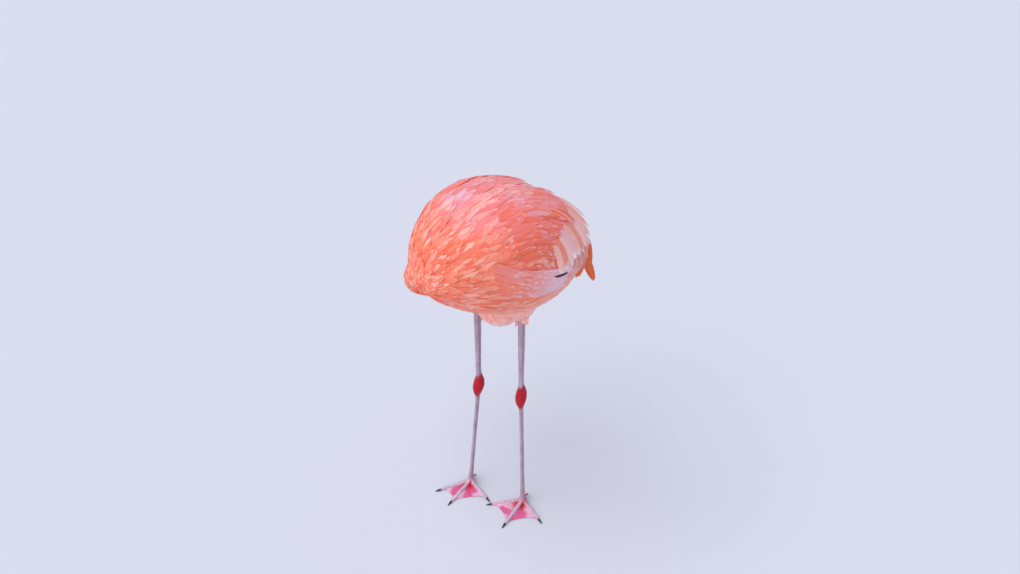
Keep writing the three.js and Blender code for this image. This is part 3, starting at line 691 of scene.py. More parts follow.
def grow(name, coat, rows=8, point=1.8, ragged=0.2, loose=1.25, soft=0.6, columns=TOP_COLUMNS):
    """One mesh of feathers from their shafts. The coat holds, for each feather, the shaft and
    the outward direction along it, its half width, dome, root place on the skin and colours."""
    shafts, outward = coat["shaft"], coat["outward"]
    count, steps = shafts.shape[:2]
    along = np.sin(np.linspace(0, 1, rows) * np.pi / 2) ** 1.15
    spot = along * (steps - 1)
    index = np.minimum(spot.astype(int), steps - 2)
    part = (spot - index)[:, None]
    spine, facing = (way[:, index] * (1 - part) + way[:, index + 1] * part for way in (shafts, outward))
    tangent = unit(np.gradient(spine, axis=1))
    side = unit(np.cross(unit(facing), tangent))
    normal = np.cross(tangent, side)
    cosine, sine = np.cos(coat["roll"])[:, None, None], np.sin(coat["roll"])[:, None, None]
    side, normal = side * cosine + normal * sine, normal * cosine - side * sine

    half = (coat["half_width"][:, None] * vane_profile(along, point))[..., None]
    dome = coat["dome"][:, None, None]
    edge = 1 - ragged * chance.random((count, rows, 2)) * (0.4 + along[:, None])
    reach = np.where(columns < 0, edge[..., :1], edge[..., 1:]) * columns
    lift = dome * half * (0.28 - reach**2) + 0.04 * half * (columns == 0)
    tips = loose * (chance.random((count, 1, len(columns))) - 0.65) * coat["half_width"][:, None, None]
    sweep = 0.22 * half * np.abs(reach) * (along[:, None] > 0.5) + tips * along[:, None] ** 5
    top = (
        spine[:, :, None] + side[:, :, None] * (half * reach)[..., None]
        + normal[:, :, None] * lift[..., None] + tangent[:, :, None] * sweep[..., None]
    )
    below = spine + normal * (0.28 * dome * half - VANE_THICKNESS * (1.2 - along)[:, None])
    below = below + tangent * (tips.min(2) * along**5)[..., None]

    # Each row of points runs across the top and comes back through one point below. The quads
    # of a tube are turned over, so that they face out.
    ring = len(columns) + 1
    walls, first, last = tube_faces(rows, ring)
    one = np.concatenate([walls[:, [0, 3, 2, 1]], first, last[:, ::-1]])
    quads = (one + np.arange(count)[:, None, None] * rows * ring).reshape(-1, 4)
    piece = mesh_of(name, np.concatenate([top, below[:, :, None]], 2).reshape(-1, 3), quads)
    vane_maps(piece.data, coat, columns, along, quads)

    # Barbs scatter light, so a soft vane is shaded partly like the skin that it lies on.
    if soft:
        bend = 2 * dome * np.append(columns, 0)
        own = unit(normal[:, :, None] + side[:, :, None] * bend[..., None])
        shading = unit(own * (1 - soft) + facing[:, :, None] * soft).reshape(-1, 3)[quads]
        upper = np.ones((rows - 1, ring))
        upper[:, -2:] = -1
        upper = np.append(upper.ravel(), np.ones(2 * len(first)))
        shading *= np.tile(upper, count)[:, None, None]
        mark(piece.data, "custom_normal", "FLOAT_VECTOR", shading, "CORNER")

    # The two edges of a vane stay sharp, so that its face isn't shaded round.
    start, end = (read(piece.data.edges, "vertices", 2, np.int32) % ring).T
    sharp = (start == end) & ((start == 0) | (start == ring - 2))
    mark(piece.data, "sharp_edge", "BOOLEAN", sharp, "EDGE")
    return piece


# ---- How the coat lies
# Every feather's shaft follows the skin from its root. Over the trunk the feathers run
# back from the base of the neck, and over each wing they turn in a whirl and hang down.
NECK_BASE = np.array([4.0, -176.0, 646.0])
WHIRL = np.array([-42.0, 44.0])           # the whirl's middle: behind and above the centre

skin_tree = BVHTree.FromPolygons(
    [tuple(v) for v in measure([v.co for v in skin.data.vertices])],
    [tuple(p.vertices) for p in skin.data.polygons],
)


def on_skin(points):
    """The nearest points of the skin, and the outward directions there."""
    found = [skin_tree.find_nearest(p) for p in points]
    return np.array([hit[0] for hit in found]), np.array([hit[1] for hit in found])


def level_with(directions, normals):
    """Directions turned into the skin's surface."""
    return unit(directions - normals * np.sum(directions * normals, -1, keepdims=True))


def always(way):
    """A lie that keeps to one way, as far as the skin allows."""
    return lambda points, normals: level_with(np.broadcast_to(way, points.shape), normals)


def trunk_lie(points, normals):
    """The way that feathers point, over the trunk and wings."""
    away, behind, above = (points - TRUNK_CENTRE).T
    back = unit(points - NECK_BASE)
    back[:, 1] += 0.25 * ease(-170, -90, behind)
    back[:, 2] -= 0.12 + 0.9 * ease(90, 190, behind)
    ry, rz = behind - WHIRL[0], above - WHIRL[1]
    turn = unit(np.stack([0 * ry, rz + 30, -ry], -1))
    share = wing_share(points) * ease(-40, 40, behind - WHIRL[0] + 0.4 * rz)
    flank = ease(-90, -10, -np.abs(above + 30)) * (1 - wing_share(points)) * ease(-110, -40, behind)
    lie = unit(back) * (1 - share[:, None]) + turn * share[:, None]
    lie[:, 2] += 0.2 * flank * (1 - share) * ease(60, 110, np.abs(away)) * ease(-60, 20, behind)
    return level_with(lie, normals)


def lay(roots, lie, length, rise, steps=6, jitter=0.09, sink=1.2):
    """Shafts that start under the skin at their roots, follow it and rise to their tips."""
    spots, normals = on_skin(roots)
    turn = chance.normal(0, jitter, len(roots))
    reach = length / (steps - 1)
    shaft, outward = [], []
    for along in np.linspace(0, 1, steps):
        height = -sink + (rise + sink) * (1 - (1 - along) ** 1.7)
        shaft.append(spots + normals * height[:, None])
        outward.append(normals)
        way = lie(spots, normals)
        way = way * np.cos(turn)[:, None] + np.cross(normals, way) * np.sin(turn)[:, None]
        spots, normals = on_skin(spots + way * reach[:, None])
    return np.stack(shaft, 1), np.stack(outward, 1)


def one_for_each(count, *sizes):
    """The sizes, which may be numbers or rows, as rows of count numbers."""
    return [np.broadcast_to(size, count).astype(float) for size in sizes]


def feathers(shaft, outward, half_width, patch, colours, dome, roll, luck=None):
    """What grow needs, with luck of its own for each feather unless it is given."""
    count = len(shaft)
    core, fringe, breadth = colours
    if luck is None:
        luck = chance.random(count)
    half_width, dome, roll, breadth = one_for_each(count, half_width, dome, roll, breadth)
    return {
        "shaft": shaft, "outward": outward, "half_width": half_width, "patch": patch, "dome": dome,
        "roll": roll, "core": core, "fringe": fringe, "breadth": breadth, "luck": luck,
    }


def coat_of(roots, lie, length, half_width, rise, patch, colours, dome=0.18, roll=0.1, **laying):
    """A coat of feathers with these roots, each a little unlike the rest."""
    count = len(roots)
    length, half_width, rise = one_for_each(count, length, half_width, rise)
    vary = chance.normal(1, 0.09, (3, count)).clip(0.75, 1.25)
    shaft, outward = lay(roots, lie, length * vary[0], rise * vary[2], **laying)
    core, fringe, breadth = colours
    luck = chance.random(count)
    breadth = breadth * chance.uniform(0.25, 1.5, count)
    core = blend_of(core, PALE, 0.62 * chance.random(count) ** 3)
    core = (core * chance.uniform(0.88, 1.07, (count, 1))).clip(0, 1)
    roll = chance.normal(0, roll, count)
    return feathers(
        shaft, outward, half_width * vary[1], patch, (core, fringe, breadth), dome, roll, luck,
    )


def chosen(coat, keep):
    """The coat's feathers for which keep is true."""
    return {label: values[keep] for label, values in coat.items()}


# ---- Feather surface
# Barbs run out and forward from the shaft, and catch the light as fine slanting lines.
# A pale or lilac fringe closes the vane, and its base is deeper in colour.
def fill_in(tree, node, **inputs):
    """A node with its inputs linked or set. A label such as _2 stands for the input of that number."""
    for label, value in inputs.items():
        key = int(label[1:]) if label[1:].isdigit() else label.replace("_", " ")
        socket = node.inputs[key]
        if isinstance(value, bpy.types.NodeSocket):
            tree.links.new(value, socket)
        elif socket.type == "RGBA":
            socket.default_value = (*value, 1)[:4]
        else:
            socket.default_value = value
    return node


def shader(tree, kind, **inputs):
    """A new node with its inputs linked or set."""
    return fill_in(tree, tree.nodes.new(kind), **inputs)


def maths(tree, operation, *values):
    """The outcome of an operation on numbers or sockets."""
    node = shader(tree, "ShaderNodeMath", **{f"_{i}": value for i, value in enumerate(values)})
    node.operation = operation
    return node.outputs[0]


def stepped(tree, value, low, high):
    """A smooth step of the value from 0 at low to 1 at high."""
    node = shader(tree, "ShaderNodeMapRange", Value=value, From_Min=low, From_Max=high)
    node.interpolation_type = "SMOOTHSTEP"
    return node.outputs[0]


def mixed(tree, share, first, second, way="MIX"):
    """Two colours, mixed by share in one of the ways that a mix node knows."""
    node = tree.nodes.new("ShaderNodeMix")
    node.data_type = "RGBA"
    node.blend_type = way
    return fill_in(tree, node, _0=share, _6=first, _7=second).outputs[2]


def shaded(tree, colour, shade):
    """The colour, made lighter or darker by a number."""
    grey = shader(tree, "ShaderNodeCombineXYZ", X=shade, Y=shade, Z=shade)
    return mixed(tree, 1.0, colour, grey.outputs[0], "MULTIPLY")


def grain_of(tree, place, scale, detail=3.0):
    """Soft random grain from 0 to 1."""
    return shader(tree, "ShaderNodeTexNoise", Vector=place, Scale=scale, Detail=detail).outputs[0]


def attribute(tree, name):
    """The outputs of a named attribute of the mesh."""
    node = tree.nodes.new("ShaderNodeAttribute")
    node.attribute_name = name
    return node.outputs


def new_surface(name, **inputs):
    """A material, its nodes and its main shader, with some of that shader's inputs set."""
    material = bpy.data.materials.new(name)
    material.use_nodes = True
    tree = material.node_tree
    return material, tree, fill_in(tree, tree.nodes["Principled BSDF"], **inputs)


def object_place(tree):
    """The place of a point in its own object."""
    return tree.nodes.new("ShaderNodeTexCoord").outputs["Object"]


def relief(tree, surface, height, strength, distance):
    """Fine relief on the surface."""
    bump = shader(tree, "ShaderNodeBump", Height=height, Strength=strength, Distance=distance)
    tree.links.new(bump.outputs[0], surface.inputs["Normal"])


def group_of(name, inputs, outputs):
    """An empty node group with named inputs and outputs, and its two end nodes."""
    group = bpy.data.node_groups.new(name, "ShaderNodeTree")
    for label, kind, value in inputs:
        socket = group.interface.new_socket(name=label, in_out="INPUT", socket_type=kind)
        if value is not None:
            socket.default_value = value
    for label, kind in outputs:
        group.interface.new_socket(name=label, in_out="OUTPUT", socket_type=kind)
    return group, group.nodes.new("NodeGroupInput"), group.nodes.new("NodeGroupOutput")


barbs, barbs_in, barbs_out = group_of(
    "barbs",
    [
        ("Vane", "NodeSocketVector", None), ("Core", "NodeSocketColor", None),
        ("Fringe", "NodeSocketColor", None), ("Breadth", "NodeSocketFloat", 0.6),
        ("Luck", "NodeSocketFloat", 0.5), ("Lines", "NodeSocketFloat", 46.0),
        ("Slant", "NodeSocketFloat", 1.1), ("Depth", "NodeSocketFloat", 0.65),
    ],
    [
        ("Colour", "NodeSocketColor"), ("Height", "NodeSocketFloat"), ("Roughness", "NodeSocketFloat"),
        ("Glow", "NodeSocketFloat"),
    ],
)
given = barbs_in.outputs
split = shader(barbs, "ShaderNodeSeparateXYZ", Vector=given["Vane"])
across = maths(barbs, "MULTIPLY_ADD", split.outputs[0], 2.0, -1.0)
beside = maths(barbs, "ABSOLUTE", across)
along_vane = split.outputs[1]
slant = maths(barbs, "MULTIPLY", beside, maths(barbs, "MULTIPLY", given["Slant"], 0.25))
slanted = maths(barbs, "SUBTRACT", along_vane, slant)
luck_shift = maths(barbs, "MULTIPLY", given["Luck"], 37.0)
line_place = shader(
    barbs, "ShaderNodeCombineXYZ", X=maths(barbs, "MULTIPLY", slanted, given["Lines"]),
    Y=maths(barbs, "MULTIPLY", beside, 1.4), Z=luck_shift,
)
lines = shader(
    barbs, "ShaderNodeTexNoise", Vector=line_place.outputs[0], Scale=1.0, Detail=2.0, Roughness=0.6,
).outputs[0]
blotch_place = shader(
    barbs, "ShaderNodeCombineXYZ", X=split.outputs[0], Y=maths(barbs, "MULTIPLY", along_vane, 1.6),
    Z=luck_shift,
)
blotch = grain_of(barbs, blotch_place.outputs[0], 2.6, 2.0)
# The fringe closes the tip and runs back along one edge, uneven and streaked by the barbs.
hand = maths(barbs, "MULTIPLY_ADD", maths(barbs, "GREATER_THAN", given["Luck"], 0.5), 2.0, -1.0)
one_edge = maths(barbs, "MULTIPLY", maths(barbs, "MULTIPLY", across, hand), 0.95)
rim = maths(barbs, "MAXIMUM", one_edge, maths(barbs, "MULTIPLY_ADD", along_vane, 1.6, -0.66))
rim = maths(barbs, "ADD", rim, maths(barbs, "MULTIPLY_ADD", lines, 0.34, -0.17))
rim = maths(barbs, "ADD", rim, maths(barbs, "MULTIPLY_ADD", blotch, 0.3, -0.15))
start = maths(barbs, "MULTIPLY_ADD", given["Breadth"], -0.42, 1.02)
fringe_share = stepped(barbs, rim, start, maths(barbs, "ADD", start, 0.34))
base_share = maths(barbs, "MULTIPLY", stepped(barbs, along_vane, 0.75, 0.25), given["Depth"])
deep = mixed(barbs, 1.0, given["Core"], (0.88, 0.62, 0.6), "MULTIPLY")
tone = mixed(barbs, base_share, given["Core"], deep)
tone = mixed(barbs, fringe_share, tone, given["Fringe"])
tone = shaded(barbs, tone, maths(barbs, "MULTIPLY_ADD", lines, 0.34, 0.83))
quill = stepped(barbs, beside, 0.1, 0.03)
tone = mixed(barbs, maths(barbs, "MULTIPLY", quill, 0.08), tone, (0.9, 0.5, 0.42))
# A vane is thin: its underside is given a painted glow, an emission that stands in for the light that comes
# through from above.
fill_in(
    barbs, barbs_out, Colour=tone, Height=maths(barbs, "ADD", lines, quill),
    Roughness=maths(barbs, "MULTIPLY_ADD", blotch, 0.2, 0.5),
    Glow=maths(barbs, "MULTIPLY", stepped(barbs, beside, 0.98, 1.15), 0.42),
)


def feather_material(name, depth=0.65, lines=46.0, bump=0.35, sheen=0.25):
    """A material for feathers that reads their own map and colours."""
    material, tree, surface = new_surface(
        name, Specular_IOR_Level=0.25, Sheen_Weight=sheen, Sheen_Roughness=0.45,
        Sheen_Tint=(1.0, 0.86, 0.86),
    )
    vane = tree.nodes.new("ShaderNodeUVMap")
    vane.uv_map = "Vane"
    core, fringe = attribute(tree, "Core"), attribute(tree, "Fringe")
    made = tree.nodes.new("ShaderNodeGroup")
    made.node_tree = barbs
    made = fill_in(
        tree, made, Vane=vane.outputs[0], Core=core["Color"], Luck=core["Alpha"], Fringe=fringe["Color"],
        Breadth=fringe["Alpha"], Lines=lines, Depth=depth,
    ).outputs
    # The emission paints a glow on the undersides of the vanes.
    fill_in(
        tree, surface, Base_Color=made["Colour"], Roughness=made["Roughness"],
        Emission_Color=made["Colour"], Emission_Strength=made["Glow"],
    )
    relief(tree, surface, made["Height"], bump, 0.0006)
    return material


contour_feather = feather_material("contour_feather")


# ---- Trunk coat
# Contour feathers cover the breast, back, flanks and belly. They grow in staggered rings,
# each over the next like tiles, so that only the last quarter of a feather shows.
ROW_SPACING = 14.0
FEATHER_SPACING = 4.7
CONTOUR_RISE = 3.0
BREAST_END = -62.0           # behind the trunk's centre


def staggered(count, number, spread):
    """Places round a ring from 0 to 1, each a little off, and shifted half a step in odd rings."""
    return (np.arange(count) + 0.5 * (number % 2) + chance.normal(0, spread, count)) / count % 1


def patches_at(around, along):
    """Places on the bake's map, just inside its edges."""
    return np.stack([0.004 + 0.992 * around, 0.004 + 0.992 * along], 1)


def lengths_along(points):
    """How far along a line each of its points is."""
    return np.cumsum(np.r_[0, np.linalg.norm(np.diff(points, axis=0), axis=1)])


def trunk_roots():
    """Roots in staggered rows round the trunk, with their places along and round it."""
    dense = np.linspace(0.001, 0.99, 400)
    ridge = trunk_points(dense, 0.4995 * np.pi, TRUNK_COAT)
    flank = trunk_points(dense, 0, TRUNK_COAT)
    length = (lengths_along(ridge) + lengths_along(flank)) / 2
    rows = np.interp(np.arange(2, length[-1], ROW_SPACING), length, dense)
    along, around = [], []
    circle = np.linspace(0, 2 * np.pi, 361)
    for number, spot in enumerate(rows):
        girth = lengths_along(trunk_points(spot, circle, TRUNK_COAT))
        count = max(5, round(girth[-1] / FEATHER_SPACING))
        around.append(np.interp(staggered(count, number, 0.16) * girth[-1], girth, circle))
        along.append(np.clip(spot + chance.normal(0, 0.0045, count), 0.01, 0.99))
    return np.concatenate(along), np.concatenate(around)


root_along, root_around = trunk_roots()
roots = trunk_points(root_along, root_around, TRUNK_COAT)
away, behind, above = (roots - TRUNK_CENTRE).T
near_neck = ease(-120, -190, behind)
upper = ease(20, 110, above)
under = ease(60, 120, -above)
length = 57 - 20 * near_neck + 8 * upper + 8 * ease(40, 160, behind)
half_width = 5.4 - 1.2 * near_neck + 0.4 * upper
wing = wing_share(roots)
trunk_coat = coat_of(
    roots, trunk_lie, length, half_width, CONTOUR_RISE + 0.5 * under,
    patches_at(root_around / (2 * np.pi), root_along), plumage(roots), dome=0.13, roll=0.06,
)
covert, left_half = wing >= 0.5, away > 0
breast = (behind < BREAST_END) & ~covert
belly = ~breast & ~covert & (above <= 0)
tracts = {
    "left_breast_coat": breast & left_half,
    "right_breast_coat": breast & ~left_half,
    "back_coat": ~breast & ~covert & ~belly,
    "left_belly_coat": belly & left_half,
    "right_belly_coat": belly & ~left_half,
    "left_covert_coat": covert & left_half,
    "right_covert_coat": covert & ~left_half,
}


def wear(piece, material, slot, *nodes):
    """A finished piece gets its surface and its place in the frame."""
    piece.data.materials.append(material)
    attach(piece, "root")
    if nodes:
        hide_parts(*nodes)


for name, keep in tracts.items():
    slot = "wing_feather" if "covert" in name else "body_feather"
    wear(grow(name, chosen(trunk_coat, keep)), contour_feather, slot)


# ---- Neck coat
# Short velvety feathers, in close rings all the way up the neck. Their tips point away
# from the head, and those at the base spread out over the breast.
NECK_START, NECK_END = 0.1, 0.985
NECK_SPAN = 0.88             # the part of the neck that fills the bake's map
NECK_ROW_STEP = 0.0062
TRUNK_HALF = [126, 190, 116] # half axes of the space inside the trunk, where none grow
NECK_FEATHER_SPACING = 3.7


def neck_roots():
    """Roots in staggered rings round the neck, with their places along and round it."""
    along, around, spots = [], [], []
    for number, share in enumerate(np.arange(NECK_START, NECK_END, NECK_ROW_STEP)):
        low, part = divmod(share * (NECK_STEPS - 1), 1)
        low = int(low)
        middle, side_axis, up_axis, radius = (
            rows[low] * (1 - part) + rows[low + 1] * part for rows in (neck_path, neck_side, neck_up, bare)
        )
        count = round(2 * np.pi * radius[0] / NECK_FEATHER_SPACING)
        turn = staggered(count, number, 0.14)
        angle = 2 * np.pi * turn[:, None]
        spots.append(middle + radius * (np.cos(angle) * side_axis + np.sin(angle) * up_axis))
        along.append(np.full(count, share) + chance.normal(0, 0.0015, count))
        around.append(turn)
    return np.concatenate(along), np.concatenate(around), np.concatenate(spots)


def neck_lie(points, normals):
    """The way that feathers point on the neck: back along it, towards the trunk."""
    gaps = np.linalg.norm(points[:, None] - neck_path[None, ::3], axis=2)
    near = gaps.argmin(1) * 3
    down = -neck_tangent[near]
    leave = ease(0.2, 0.06, near / len(neck_path))[:, None]
    down = down * (1 - leave) + unit(points - NECK_BASE) * leave
    return level_with(down, normals)


neck_along, neck_around, neck_spots = neck_roots()
neck_spots = on_skin(neck_spots)[0]
in_trunk = np.linalg.norm((neck_spots - TRUNK_CENTRE) / TRUNK_HALF, axis=1)
outside = (in_trunk > 0.97) | (neck_spots[:, 2] < 600)
neck_along, neck_around, neck_spots = (rows[outside] for rows in (neck_along, neck_around, neck_spots))
core, fringe, breadth = plumage(neck_spots)
upward = ease(0.15, 0.95, neck_along)
core = blend_of(core, blend_of(ORANGE, CORAL, chance.random(len(neck_along))), 0.55)
core = blend_of(core, PINK, 0.25 * upward)
neck_length = 25 - 7 * ease(0.08, 0.5, neck_along) - 4 * upward
neck_coat = coat_of(
    neck_spots, neck_lie, neck_length, 0.155 * neck_length, 2.5 - 0.7 * upward,
    patches_at(neck_around, (neck_along - NECK_START) / NECK_SPAN),
    (core, blend_of(fringe, BLUSH, 0.5), 0.75 * breadth), steps=5,
)
NARROW_COLUMNS = np.array([-1, 0, 1])
for name, keep in (("lower_neck_coat", neck_along < 0.5), ("upper_neck_coat", neck_along >= 0.5)):
    piece = grow(name, chosen(neck_coat, keep), rows=6, columns=NARROW_COLUMNS)
    wear(piece, contour_feather, "body_feather")


# ---- Head coat
# The smallest feathers of all lie flat over the crown, cheeks and throat. The face
# stays bare from the bill back round the eye.
LORE_START = 9.0


def eye_gap(forward, up):
    """How far points of the head lie from the eyes' axis."""
    return np.hypot(forward - EYE_PLACE["forward"], up - EYE_PLACE["up"])


def lore_gap(forward, up, breadth):
    """How far points lie inside the bare lore, which widens from this breadth towards the bill."""
    return breadth + 0.52 * (forward - LORE_START) - np.abs(up - 1.5 + 0.12 * forward)


def bare_face(forward, up, left):
    """Where the face has no feathers: the lore and a ring round the eye."""
    lore = (forward > LORE_START) & (lore_gap(forward, up, 3) > 0)
    ring = (eye_gap(forward, up) < 8.6) & (np.abs(left) > 9)
    return lore & (np.abs(left) > 3.5) | ring | (forward > 28)


HEAD_FEATHER_SPACING = 2.0
head_spots, head_patch = [], []
for number, share in enumerate(np.linspace(0.03, 0.985, 46)):
    forward, up, high, wide = (run(column, share) for column in SKULL_STATIONS.T)
    girth = 2 * np.pi * math.sqrt((high**2 + wide**2) / 2)
    turn = staggered(max(8, round(girth / HEAD_FEATHER_SPACING)), number, 0.15)
    angle = 2 * np.pi * turn
    head_spots.append(head_point(forward, up + high * np.sin(angle), wide * np.cos(angle)))
    head_patch.append(patches_at(turn, np.full(len(turn), share)))
head_spots, head_patch = np.concatenate(head_spots), np.concatenate(head_patch)
forward, up, left = head_measure(head_spots)
feathered = ~bare_face(forward, up, left)
head_spots, head_patch, forward, up = (rows[feathered] for rows in (head_spots, head_patch, forward, up))

# Its feathers point back from the bill and slightly down.
head_lie = always(-head_forward - 0.18 * head_up)
core, fringe, breadth = plumage(head_spots)
core = blend_of(blend_of(core, CORAL, 0.5), BLUSH, 0.5 * ease(16, 28, forward))
head_length = 9.5 - 5.0 * ease(-20, 26, forward)
head_coat = coat_of(
    head_spots, head_lie, head_length, 0.17 * head_length, 0.8, head_patch,
    (core, blend_of(fringe, BLUSH, 0.6), 0.6 * breadth), steps=4, sink=0.5,
)
wear(grow("head_coat", head_coat, rows=5, columns=NARROW_COLUMNS), contour_feather, "body_feather")


# ---- Thigh and belly coat
# Loose downy feathers hang from the belly and close round the top of each bare shank.
THIGH_ROWS = np.linspace(0.12, 0.84, 11)
THIGH_SPAN = 0.81            # the part of the thigh that fills the bake's map
THIGH_FEATHER_SPACING = 6.5
THIGH_SIDES = 48

# The feathers point down, and a little back.
hang_lie = always([0.0, 0.35, -1.0])


def downy_coat(name, spots, patch, length, half_width, rise):
    """A tract of loose, pale feathers."""
    core, fringe, breadth = plumage(spots)
    pale = ease(530, 500, spots[:, 2]) * 0.5 + 0.35
    core = blend_of(core, blend_of(PINK, PALE, 0.3 + 0.7 * chance.random(len(spots))), pale + 0.15)
    colours = (core, fringe, breadth + 0.2)
    coat = coat_of(
        spots, hang_lie, length, half_width, rise, patch, colours, roll=0.2, jitter=0.2,
    )
    wear(grow(name, coat, ragged=0.3, loose=1.3), contour_feather, "body_feather")


for side, leg in LEGS.items():
    rings = thigh_rings(leg, THIGH_COAT, 101, THIGH_SIDES)
    spots, patch = [], []
    for number, down in enumerate(THIGH_ROWS):
        ring = rings[round(100 * down)]
        girth = np.linalg.norm(ring - np.roll(ring, 1, 0), axis=1).sum()
        turn = staggered(round(girth / THIGH_FEATHER_SPACING), number, 0.15)
        spots.append(ring[(turn * THIGH_SIDES).astype(int) % THIGH_SIDES])
        patch.append(patches_at(turn, np.full(len(turn), (down - THIGH_ROWS[0]) / THIGH_SPAN)))
    spots, patch = np.concatenate(spots), np.concatenate(patch)
    outside = spots[:, 2] < 570
    length = np.minimum(28, (spots[outside, 2] - THIGH_END) * 0.95)
    downy_coat(f"{side}_thigh_coat", spots[outside], patch[outside], length, 2 + 0.14 * length, 3.2)

TUFT_ROWS, TUFT_END = 11, 0.92
turn, drop = np.meshgrid(np.linspace(0, 1, 34, endpoint=False), np.linspace(0.02, TUFT_END, TUFT_ROWS))
turn = turn + chance.normal(0, 0.008, turn.shape) + 0.015 * (np.arange(TUFT_ROWS) % 2)[:, None]
turn, drop = turn.ravel() % 1, drop.ravel()
angle, dip = 2 * np.pi * turn, np.pi / 2 * drop
below = np.stack([np.cos(angle) * np.cos(dip), np.sin(angle) * np.cos(dip), -np.sin(dip)], 1)
spots = BELLY_MIDDLE + (BELLY_SIZE - BELLY_COAT) * below
downy_coat("belly_tuft", spots, patches_at(turn, drop / TUFT_END), 34, 6, 6)


# ---- Long feathers
# Scapulars, secondaries and tertials are long and stiff. They lie on the wing, and leave
# it where the body curves away, so that their tips hang free.
ROOT_DEPTH = 1.0             # how far under the skin a long shaft starts
SLACK = 9.0                  # how far above its rise a shaft may stand free
GRIP = 0.35                  # how much of the coat's way a shaft takes on at each step


def stretch(roots, start, lie, length, rise, steps=12):
    """Shafts that run on straight where the skin curves away, and never sink under it."""
    spots, normals = on_skin(roots)
    points = spots - normals * ROOT_DEPTH
    way = level_with(start, normals)
    shaft, outward = [points], [normals]
    reach = (length / (steps - 1))[:, None]
    facing = normals
    for along in np.linspace(0, 1, steps)[1:]:
        height = (-ROOT_DEPTH + (rise + ROOT_DEPTH) * min(1, 2.2 * along))[:, None]
        points = points + way * reach
        spots, normals = on_skin(points)
        gap = np.sum((points - spots) * normals, 1, keepdims=True)
        under = gap < height
        far = gap > height + SLACK
        points = np.where(under, spots + normals * height, points)
        points = np.where(far, points - normals * (gap - height - SLACK), points)
        facing = unit(facing + normals * 0.5)
        facing = np.where(under, normals, facing)
        way = unit(way * (1 - GRIP) + lie(spots, normals) * GRIP)
        way = np.where(under | far, level_with(way, normals), way)
        shaft.append(points)
        outward.append(facing)
    return np.stack(shaft, 1), np.stack(outward, 1)


def long_coat(roots, start, lie, length, half_width, rise, colours, roll=0.05, **laying):
    """A rank of long feathers with these roots, which set out in the start's direction."""
    count = len(roots)
    length, half_width, rise = one_for_each(count, length, half_width, rise)
    vary = chance.normal(1, 0.06, (2, count)).clip(0.8, 1.2)
    shaft, outward = stretch(roots, start, lie, length * vary[0], rise, **laying)
    roll = chance.normal(0, roll, count)
    return feathers(shaft, outward, half_width * vary[1], wide_patch(roots), colours, 0.22, roll)


def side_points(behind, above, sign):
    """Points on the outside of the trunk, at places seen from the side."""
    behind, above = np.broadcast_arrays(np.asarray(behind, float), np.asarray(above, float))
    far = TRUNK_CENTRE + np.stack([sign * 150 + 0 * behind, behind, above], -1)
    spots = []
    for spot in far:
        hit = skin_tree.ray_cast(Vector(spot), Vector((-sign, 0, 0)))
        spots.append(hit[0] if hit[0] is not None else skin_tree.find_nearest(Vector(spot))[0])
    return np.array(spots)


def wide_patch(spots):
    """Root places on an unwrap of the trunk, drawn out to fill the bake's map."""
    away, behind, above = (spots - TRUNK_CENTRE).T
    around = np.arctan2(above, away) / (2 * np.pi) % 1
    patch = patches_at(around, ((behind + 200) / 406).clip(0, 1))
    low, high = patch.min(0), patch.max(0)
    return 0.01 + 0.98 * (patch - low) / np.maximum(high - low, 1e-6)


def whirl_lie(points, normals):
    """The way that the rear wing feathers point: round the whirl's middle."""
    behind, above = (points - TRUNK_CENTRE).T[1:]
    turn = np.stack([0 * behind, above - WHIRL[1] + 12, WHIRL[0] - behind], -1)
    return level_with(turn, normals)


PRIMARY_PATHS = np.array([
    [(136, 30, 634), (131, 80, 624), (112, 136, 610), (80, 190, 596), (52, 226, 588)],
    [(138, 36, 646), (133, 90, 636), (110, 150, 620), (74, 204, 606), (40, 240, 598)],
], float)
TERTIAL_PATHS = np.array([
    [(128, 60, 700), (136, 92, 668), (130, 118, 634), (118, 119, 599)],
    [(118, 96, 702), (126, 132, 668), (114, 150, 618), (102, 151, 571)],
    [(96, 118, 702), (106, 150, 664), (101, 171, 612), (98, 208, 538)],
    [(66, 138, 700), (72, 184, 660), (72, 212, 612), (70, 230, 556)],
], float)
wing_feather = feather_material("wing_feather", depth=0.5, lines=70.0, bump=0.3)
tertial_feather = feather_material("tertial_feather", depth=0.35, lines=110.0, bump=0.3)
flight_feather = feather_material("flight_feather", depth=0.2, lines=120.0, bump=0.3, sheen=0.1)
BACK_WAY = np.array([0.0, 1.0, -0.1])
TIP_WAY = np.array([0.0, 1.0, -0.2])


def black(count):
    """The colours of count black feathers."""
    return np.tile(BLACK, (count, 1)), np.tile(BLACK * 1.8, (count, 1)), 0.2


def on_this_side(paths, sign):
    """Paths drawn for the left wing, as they lie on the side of this sign."""
    paths = np.array(paths)
    if sign < 0:
        paths[..., 0] = 2 * TRUNK_CENTRE[0] - paths[..., 0]
    return paths


def uneven_grid(columns, rows, spread):
    """Places from 0 to 1 in columns and rows, each a little off."""
    grid = np.stack(np.meshgrid(np.linspace(0, 1, columns), np.linspace(0, 1, rows)), -1).reshape(-1, 2)
    return (grid + chance.normal(0, spread, grid.shape)).clip(0, 1)


def flank_lie(points, normals):
    """The way that the flank plumes point: back, and down less and less."""
    fall = -0.6 + 0.5 * ease(-110, 10, points[:, 1] - TRUNK_CENTRE[1])
    return level_with(np.stack([0 * fall, np.ones(len(fall)), fall], -1), normals)


def whirl_rank(behind, above, length, half_width, rise, colours, sign):
    """A rank of long feathers that turn with the whirl, with roots in an even row."""
    share = np.linspace(0, 1, len(colours[0]))
    spots = side_points(run(behind, share), run(above, share), sign)
    return long_coat(
        spots, whirl_lie(*on_skin(spots)), whirl_lie, length, half_width, rise, colours,
    )


